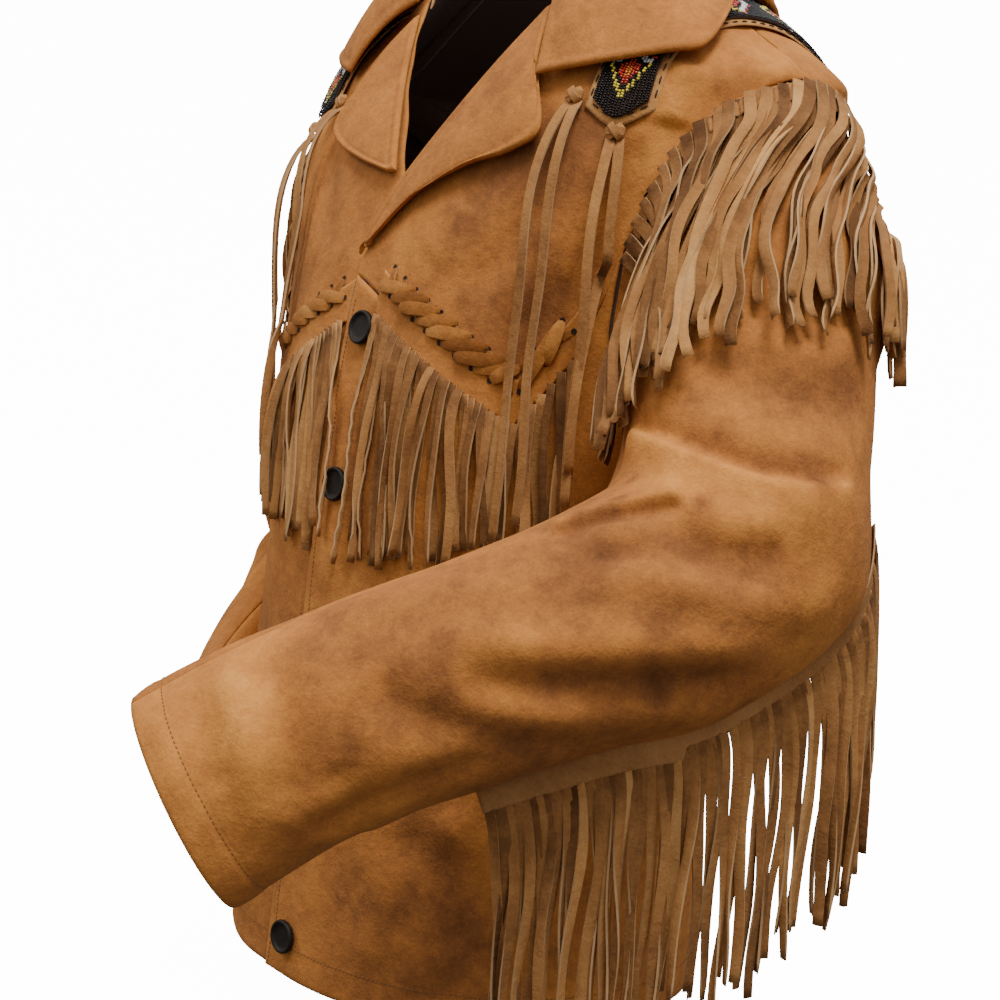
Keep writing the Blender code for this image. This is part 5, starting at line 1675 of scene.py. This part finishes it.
def stitch(bag, a, b, n, r, rise):
    """A stitch: a short round thread from a to b that sinks at both ends."""
    k, m = 5, 5
    t = np.linspace(0, 1, k)[:, None]
    c = a * (1 - t) + b * t + n * (rise * np.sin(np.pi * t) - .0002)
    d = (b - a) / np.linalg.norm(b - a)
    w = np.cross(n, d)
    w /= np.linalg.norm(w)
    ang = np.linspace(0, 2 * np.pi, m, endpoint=False)
    size = np.array([.55, 1, 1, 1, .55])[:, None, None] * r
    ring = c[:, None] + size * (np.cos(ang)[None, :, None] * w + np.sin(ang)[None, :, None] * n)
    v, f, base = bag
    v.append(ring.reshape(-1, 3))
    for i in range(k - 1):
        for j in range(m):
            p = base + i * m
            f.append((p + j, p + (j + 1) % m, p + m + (j + 1) % m, p + m + j))
    f.append(tuple(base + j for j in range(m))[::-1])
    f.append(tuple(base + (k - 1) * m + j for j in range(m)))
    bag[2] += k * m


def stitch_row(kind, line, normals, pitch, length, r, rise=.0003, lift=.0002):
    d = np.r_[0, np.cumsum(np.linalg.norm(np.diff(line, axis=0), axis=1))]
    s = np.arange(pitch * .4, d[-1] - length, pitch)
    for q in s:
        a, b = (np.array([np.interp(t, d, line[:, i]) for i in range(3)]) for t in (q, q + length))
        n = np.array([np.interp(q, d, normals[:, i]) for i in range(3)])
        n /= np.linalg.norm(n)
        stitch(stitches[kind], a + n * lift, b + n * lift, n, r, rise)


def at_distance(o, n, d, c, away):
    """The point of a column that lies the given distance from its lower end."""
    rows = np.arange(len(d))
    r = float(np.interp(-away, -d[:, c], rows))
    i = min(int(r), len(d) - 1)
    t = r - i
    return o[i, c] * (1 - t) + o[i + 1, c] * t, n[i, c]


for word in ("left", "right"):
    o, n = outer_sides["bead_back_" + word]
    for u in (.050, .950):
        c = int(round(u * (o.shape[1] - 1)))
        stitch_row("dark", o[2:-2, c], n[2:-2, c], .0088, .0052, .00062, .0004)
    for r in (2, -3):
        stitch_row("dark", o[r, 1:-1], n[r, 1:-1], .0088, .0052, .00062, .0004)
    for part_name in ("top", "under"):
        o, n = outer_sides["sleeve_%s_%s" % (word, part_name)]
        d = np.cumsum(np.linalg.norm(np.diff(o, axis=0), axis=-1)[::-1], axis=0)[::-1]
        line = [at_distance(o, n, d, c, .020) for c in range(o.shape[1])]
        stitch_row("tan", np.array([a for a, b in line]), np.array([b for a, b in line]), .0032, .0024, .00028)
    o, n = outer_sides["front_" + word]
    # a stitched facing line 26 mm in from the front edge, and the hem
    step = np.linalg.norm(np.diff(o[:, :], axis=1), axis=-1)
    dist = np.concatenate([np.zeros((o.shape[0], 1)), np.cumsum(step, axis=1)], axis=1)
    line = [(o[r, int(np.argmin(np.abs(dist[r] - .0065)))], n[r, int(np.argmin(np.abs(dist[r] - .0065)))]) for r in range(3, o.shape[0] - 1)]
    stitch_row("tan", np.array([a for a, b in line]), np.array([b for a, b in line]), .0032, .0024, .00028)
for name in ("front_left", "front_right", "back"):
    o, n = outer_sides[name]
    d = np.cumsum(np.linalg.norm(np.diff(o, axis=0), axis=-1)[::-1], axis=0)[::-1]
    line = [at_distance(o, n, d, c, .022) for c in range(o.shape[1])]
    stitch_row("tan", np.array([a for a, b in line]), np.array([b for a, b in line]), .0032, .0024, .00028)
for kind, mat in (("dark", THREAD_DARK), ("tan", THREAD)):
    v, f, _ = stitches[kind]
    put(build("stitches_" + kind, np.concatenate(v), f, [mat], smooth=True), "suede" if kind == "tan" else "fringe_suede")

# ---------------------------------------------------------------- buttons
for k in range(BUTTON_COUNT):
    z = BUTTON_TOP_Z - k * BUTTON_PITCH
    th = float(angle_at(0.0, z))
    at = skin(th, z, CLOTH + .0009)
    nn = at - skin(th, z, 0.0)
    nn /= np.linalg.norm(nn)
    R, H = BUTTON_DIA / 2, BUTTON_THICK
    profile = np.array([(0, .52), (.10, .52), (.30, .53), (.50, .545), (.64, .57), (.715, .62), (.76, .74), (.80, .88), (.84, .97),
                        (.885, 1.0), (.935, .98), (.97, .90), (.992, .76), (1.0, .58), (.998, .38), (.985, .20), (.955, .08),
                        (.90, .02), (.60, 0.0), (0, 0)])
    ax = np.array([1.0, 0, 0]) - nn * nn[0]
    ax /= np.linalg.norm(ax)
    ay = np.cross(nn, ax)
    steps = 48
    v, f = [], []
    for rr, hh in profile[1:-1]:
        for i in range(steps):
            a = 2 * np.pi * i / steps
            v.append(at + (ax * math.cos(a) + ay * math.sin(a)) * rr * R + nn * hh * H)
    rows = len(profile) - 2
    for r in range(rows - 1):
        for i in range(steps):
            f.append((r * steps + i, (r + 1) * steps + i, (r + 1) * steps + (i + 1) % steps, r * steps + (i + 1) % steps))
    c0, c1 = len(v), len(v) + 1
    v += [at + nn * .52 * H, at]
    for i in range(steps):
        f.append((c0, i, (i + 1) % steps))
        e = (rows - 1) * steps
        f.append((c1, e + (i + 1) % steps, e + i))
    name = "button_%d" % (k + 1)
    put(build(name + "_turned", np.array(v), f, [BUTTON_MAT], smooth=True), "button", name)

# ---------------------------------------------------------------- what the cloth was cut from
print("MEASURED", json.dumps(measured))
CUTS = {
    # panel: flat width, flat length, flat area, what goes with it
    "back": (.560, .745, .344, ()),
    "front_left": (.305, .580, .129, ("yoke_fringe_left", "header_left_cloth", "yoke_lacing_left")),
    "front_right": (.305, .580, .129, ("yoke_fringe_right", "header_right_cloth", "yoke_lacing_right")),
    "yoke_left": (.270, .325, .0535, ("tie_left_inner_thongs", "tie_left_outer_thongs")),
    "yoke_right": (.275, .335, .0560, ("tie_right_inner_thongs", "tie_right_outer_thongs")),
    "sleeve_left_top": (.285, .725, .138, ("armhole_fringe_left", "arm_header_left_cloth", "sleeve_fringe_left", "arm_strip_left_cloth")),
    "sleeve_left_under": (.280, .715, .124, ("hind_tape_left_cloth", "fore_tape_left_cloth")),
    "sleeve_right_top": (.270, .705, .117, ("armhole_fringe_right", "arm_header_right_cloth", "sleeve_fringe_right", "arm_strip_right_cloth")),
    "sleeve_right_under": (.265, .695, .113, ("hind_tape_right_cloth", "fore_tape_right_cloth")),
    "lapel_left": (.085, .205, .0090, ()),
    "lapel_right": (.075, .145, .0064, ()),
    "collar": (.105, .645, .0665, ()),
    "collar_stand": (.025, .435, .0093, ()),
    "bead_back_left": (.050, .300, .0137, ("bead_base_left_cloth", "beadwork_left")),
    "bead_back_right": (.050, .300, .0137, ("bead_base_right_cloth", "beadwork_right")),
}
for name, (wide, long, flat_area, going) in CUTS.items():
    obj = piece[name]
    extra = [bpy.data.objects[g] for g in going]
    if name == "back":
        extra += [bpy.data.objects[g] for g in ("stitches_tan", "stitches_dark", "lacing_holes")]
        extra += [bpy.data.objects["%s_tape_%s_cloth" % (k, w)] for k in ("armhole", "shoulder", "side", "yoke") for w in ("left", "right")]


# ---------------------------------------------------------------- floor and light
def stage_mesh():
    """a flat round floor that curves up into a wall on every side"""
    v, f = [(0, 0, -.80)], []
    around = 72
    prof = [(1.5, -.80), (4.0, -.80)] + [(5.0 + 2.0 * math.sin(a), -.80 + 2.0 * (1 - math.cos(a))) for a in np.linspace(0, math.pi / 2, 12)] + [(7.0, 4.6)]
    for r, z in prof:
        for c in range(around):
            t = 2 * math.pi * c / around
            v.append((r * math.cos(t), r * math.sin(t), z))
    for c in range(around):
        f.append((0, 1 + c, 1 + (c + 1) % around))
    for r in range(len(prof) - 1):
        for c in range(around):
            d = (c + 1) % around
            f.append((1 + r * around + c, 1 + (r + 1) * around + c, 1 + (r + 1) * around + d, 1 + r * around + d))
    return v, f


sv, sf = stage_mesh()
floor_mat = plain("floor_pale", (.90, .895, .89), .8, bump=.02, scale=60.0, vary=.01, spec=.2)
glow = floor_mat.node_tree.nodes["Principled BSDF"]
glow.inputs["Emission Color"].default_value = (1.0, .995, .985, 1)
glow.inputs["Emission Strength"].default_value = 14.0
floor = build("floor", np.array(sv), sf, [floor_mat], smooth=True)
floor.visible_diffuse = False
floor.visible_glossy = False

# a pale sky above and a dim ground below, by direction
world = bpy.data.worlds.new("sky")
world.use_nodes = True
wt = world.node_tree
wc = node(wt, "ShaderNodeTexCoord", (-900, 0))
wx = node(wt, "ShaderNodeSeparateXYZ", (-700, 0))
wr = ramp(wt, (-450, 0), ((.28, (.150, .130, .115)), (.52, (.42, .41, .40)), (.75, (1.0, .99, .975))))
wm = math_node(wt, "MULTIPLY_ADD", wx.outputs[2], .5, (-580, -150))
wm.node.inputs[2].default_value = .5
wt.links.new(wc.outputs["Generated"], wx.inputs[0])
wt.links.new(wm, wr.inputs[0])
wt.links.new(wr.outputs[0], wt.nodes["Background"].inputs[0])
wt.nodes["Background"].inputs[1].default_value = .95
bpy.context.scene.world = world


def lamp(name, at, target, size, power, colour=(1, 1, 1)):
    l = bpy.data.lights.new(name, "AREA")
    l.shape = "RECTANGLE"
    l.size, l.size_y = size
    l.energy = power
    l.color = colour
    o = bpy.data.objects.new(name, l)
    o.location = at
    o.rotation_euler = (Vector(target) - Vector(at)).to_track_quat("-Z", "Y").to_euler()
    bpy.context.scene.collection.objects.link(o)


lamp("key", (1.0, -.6, 2.0), (.1, -.1, -.3), (.8, .8), 58, (1, .985, .955))
lamp("side", (-1.5, -1.4, 1.2), (0, -.1, -.3), (.9, .9), 16, (1, .99, .98))
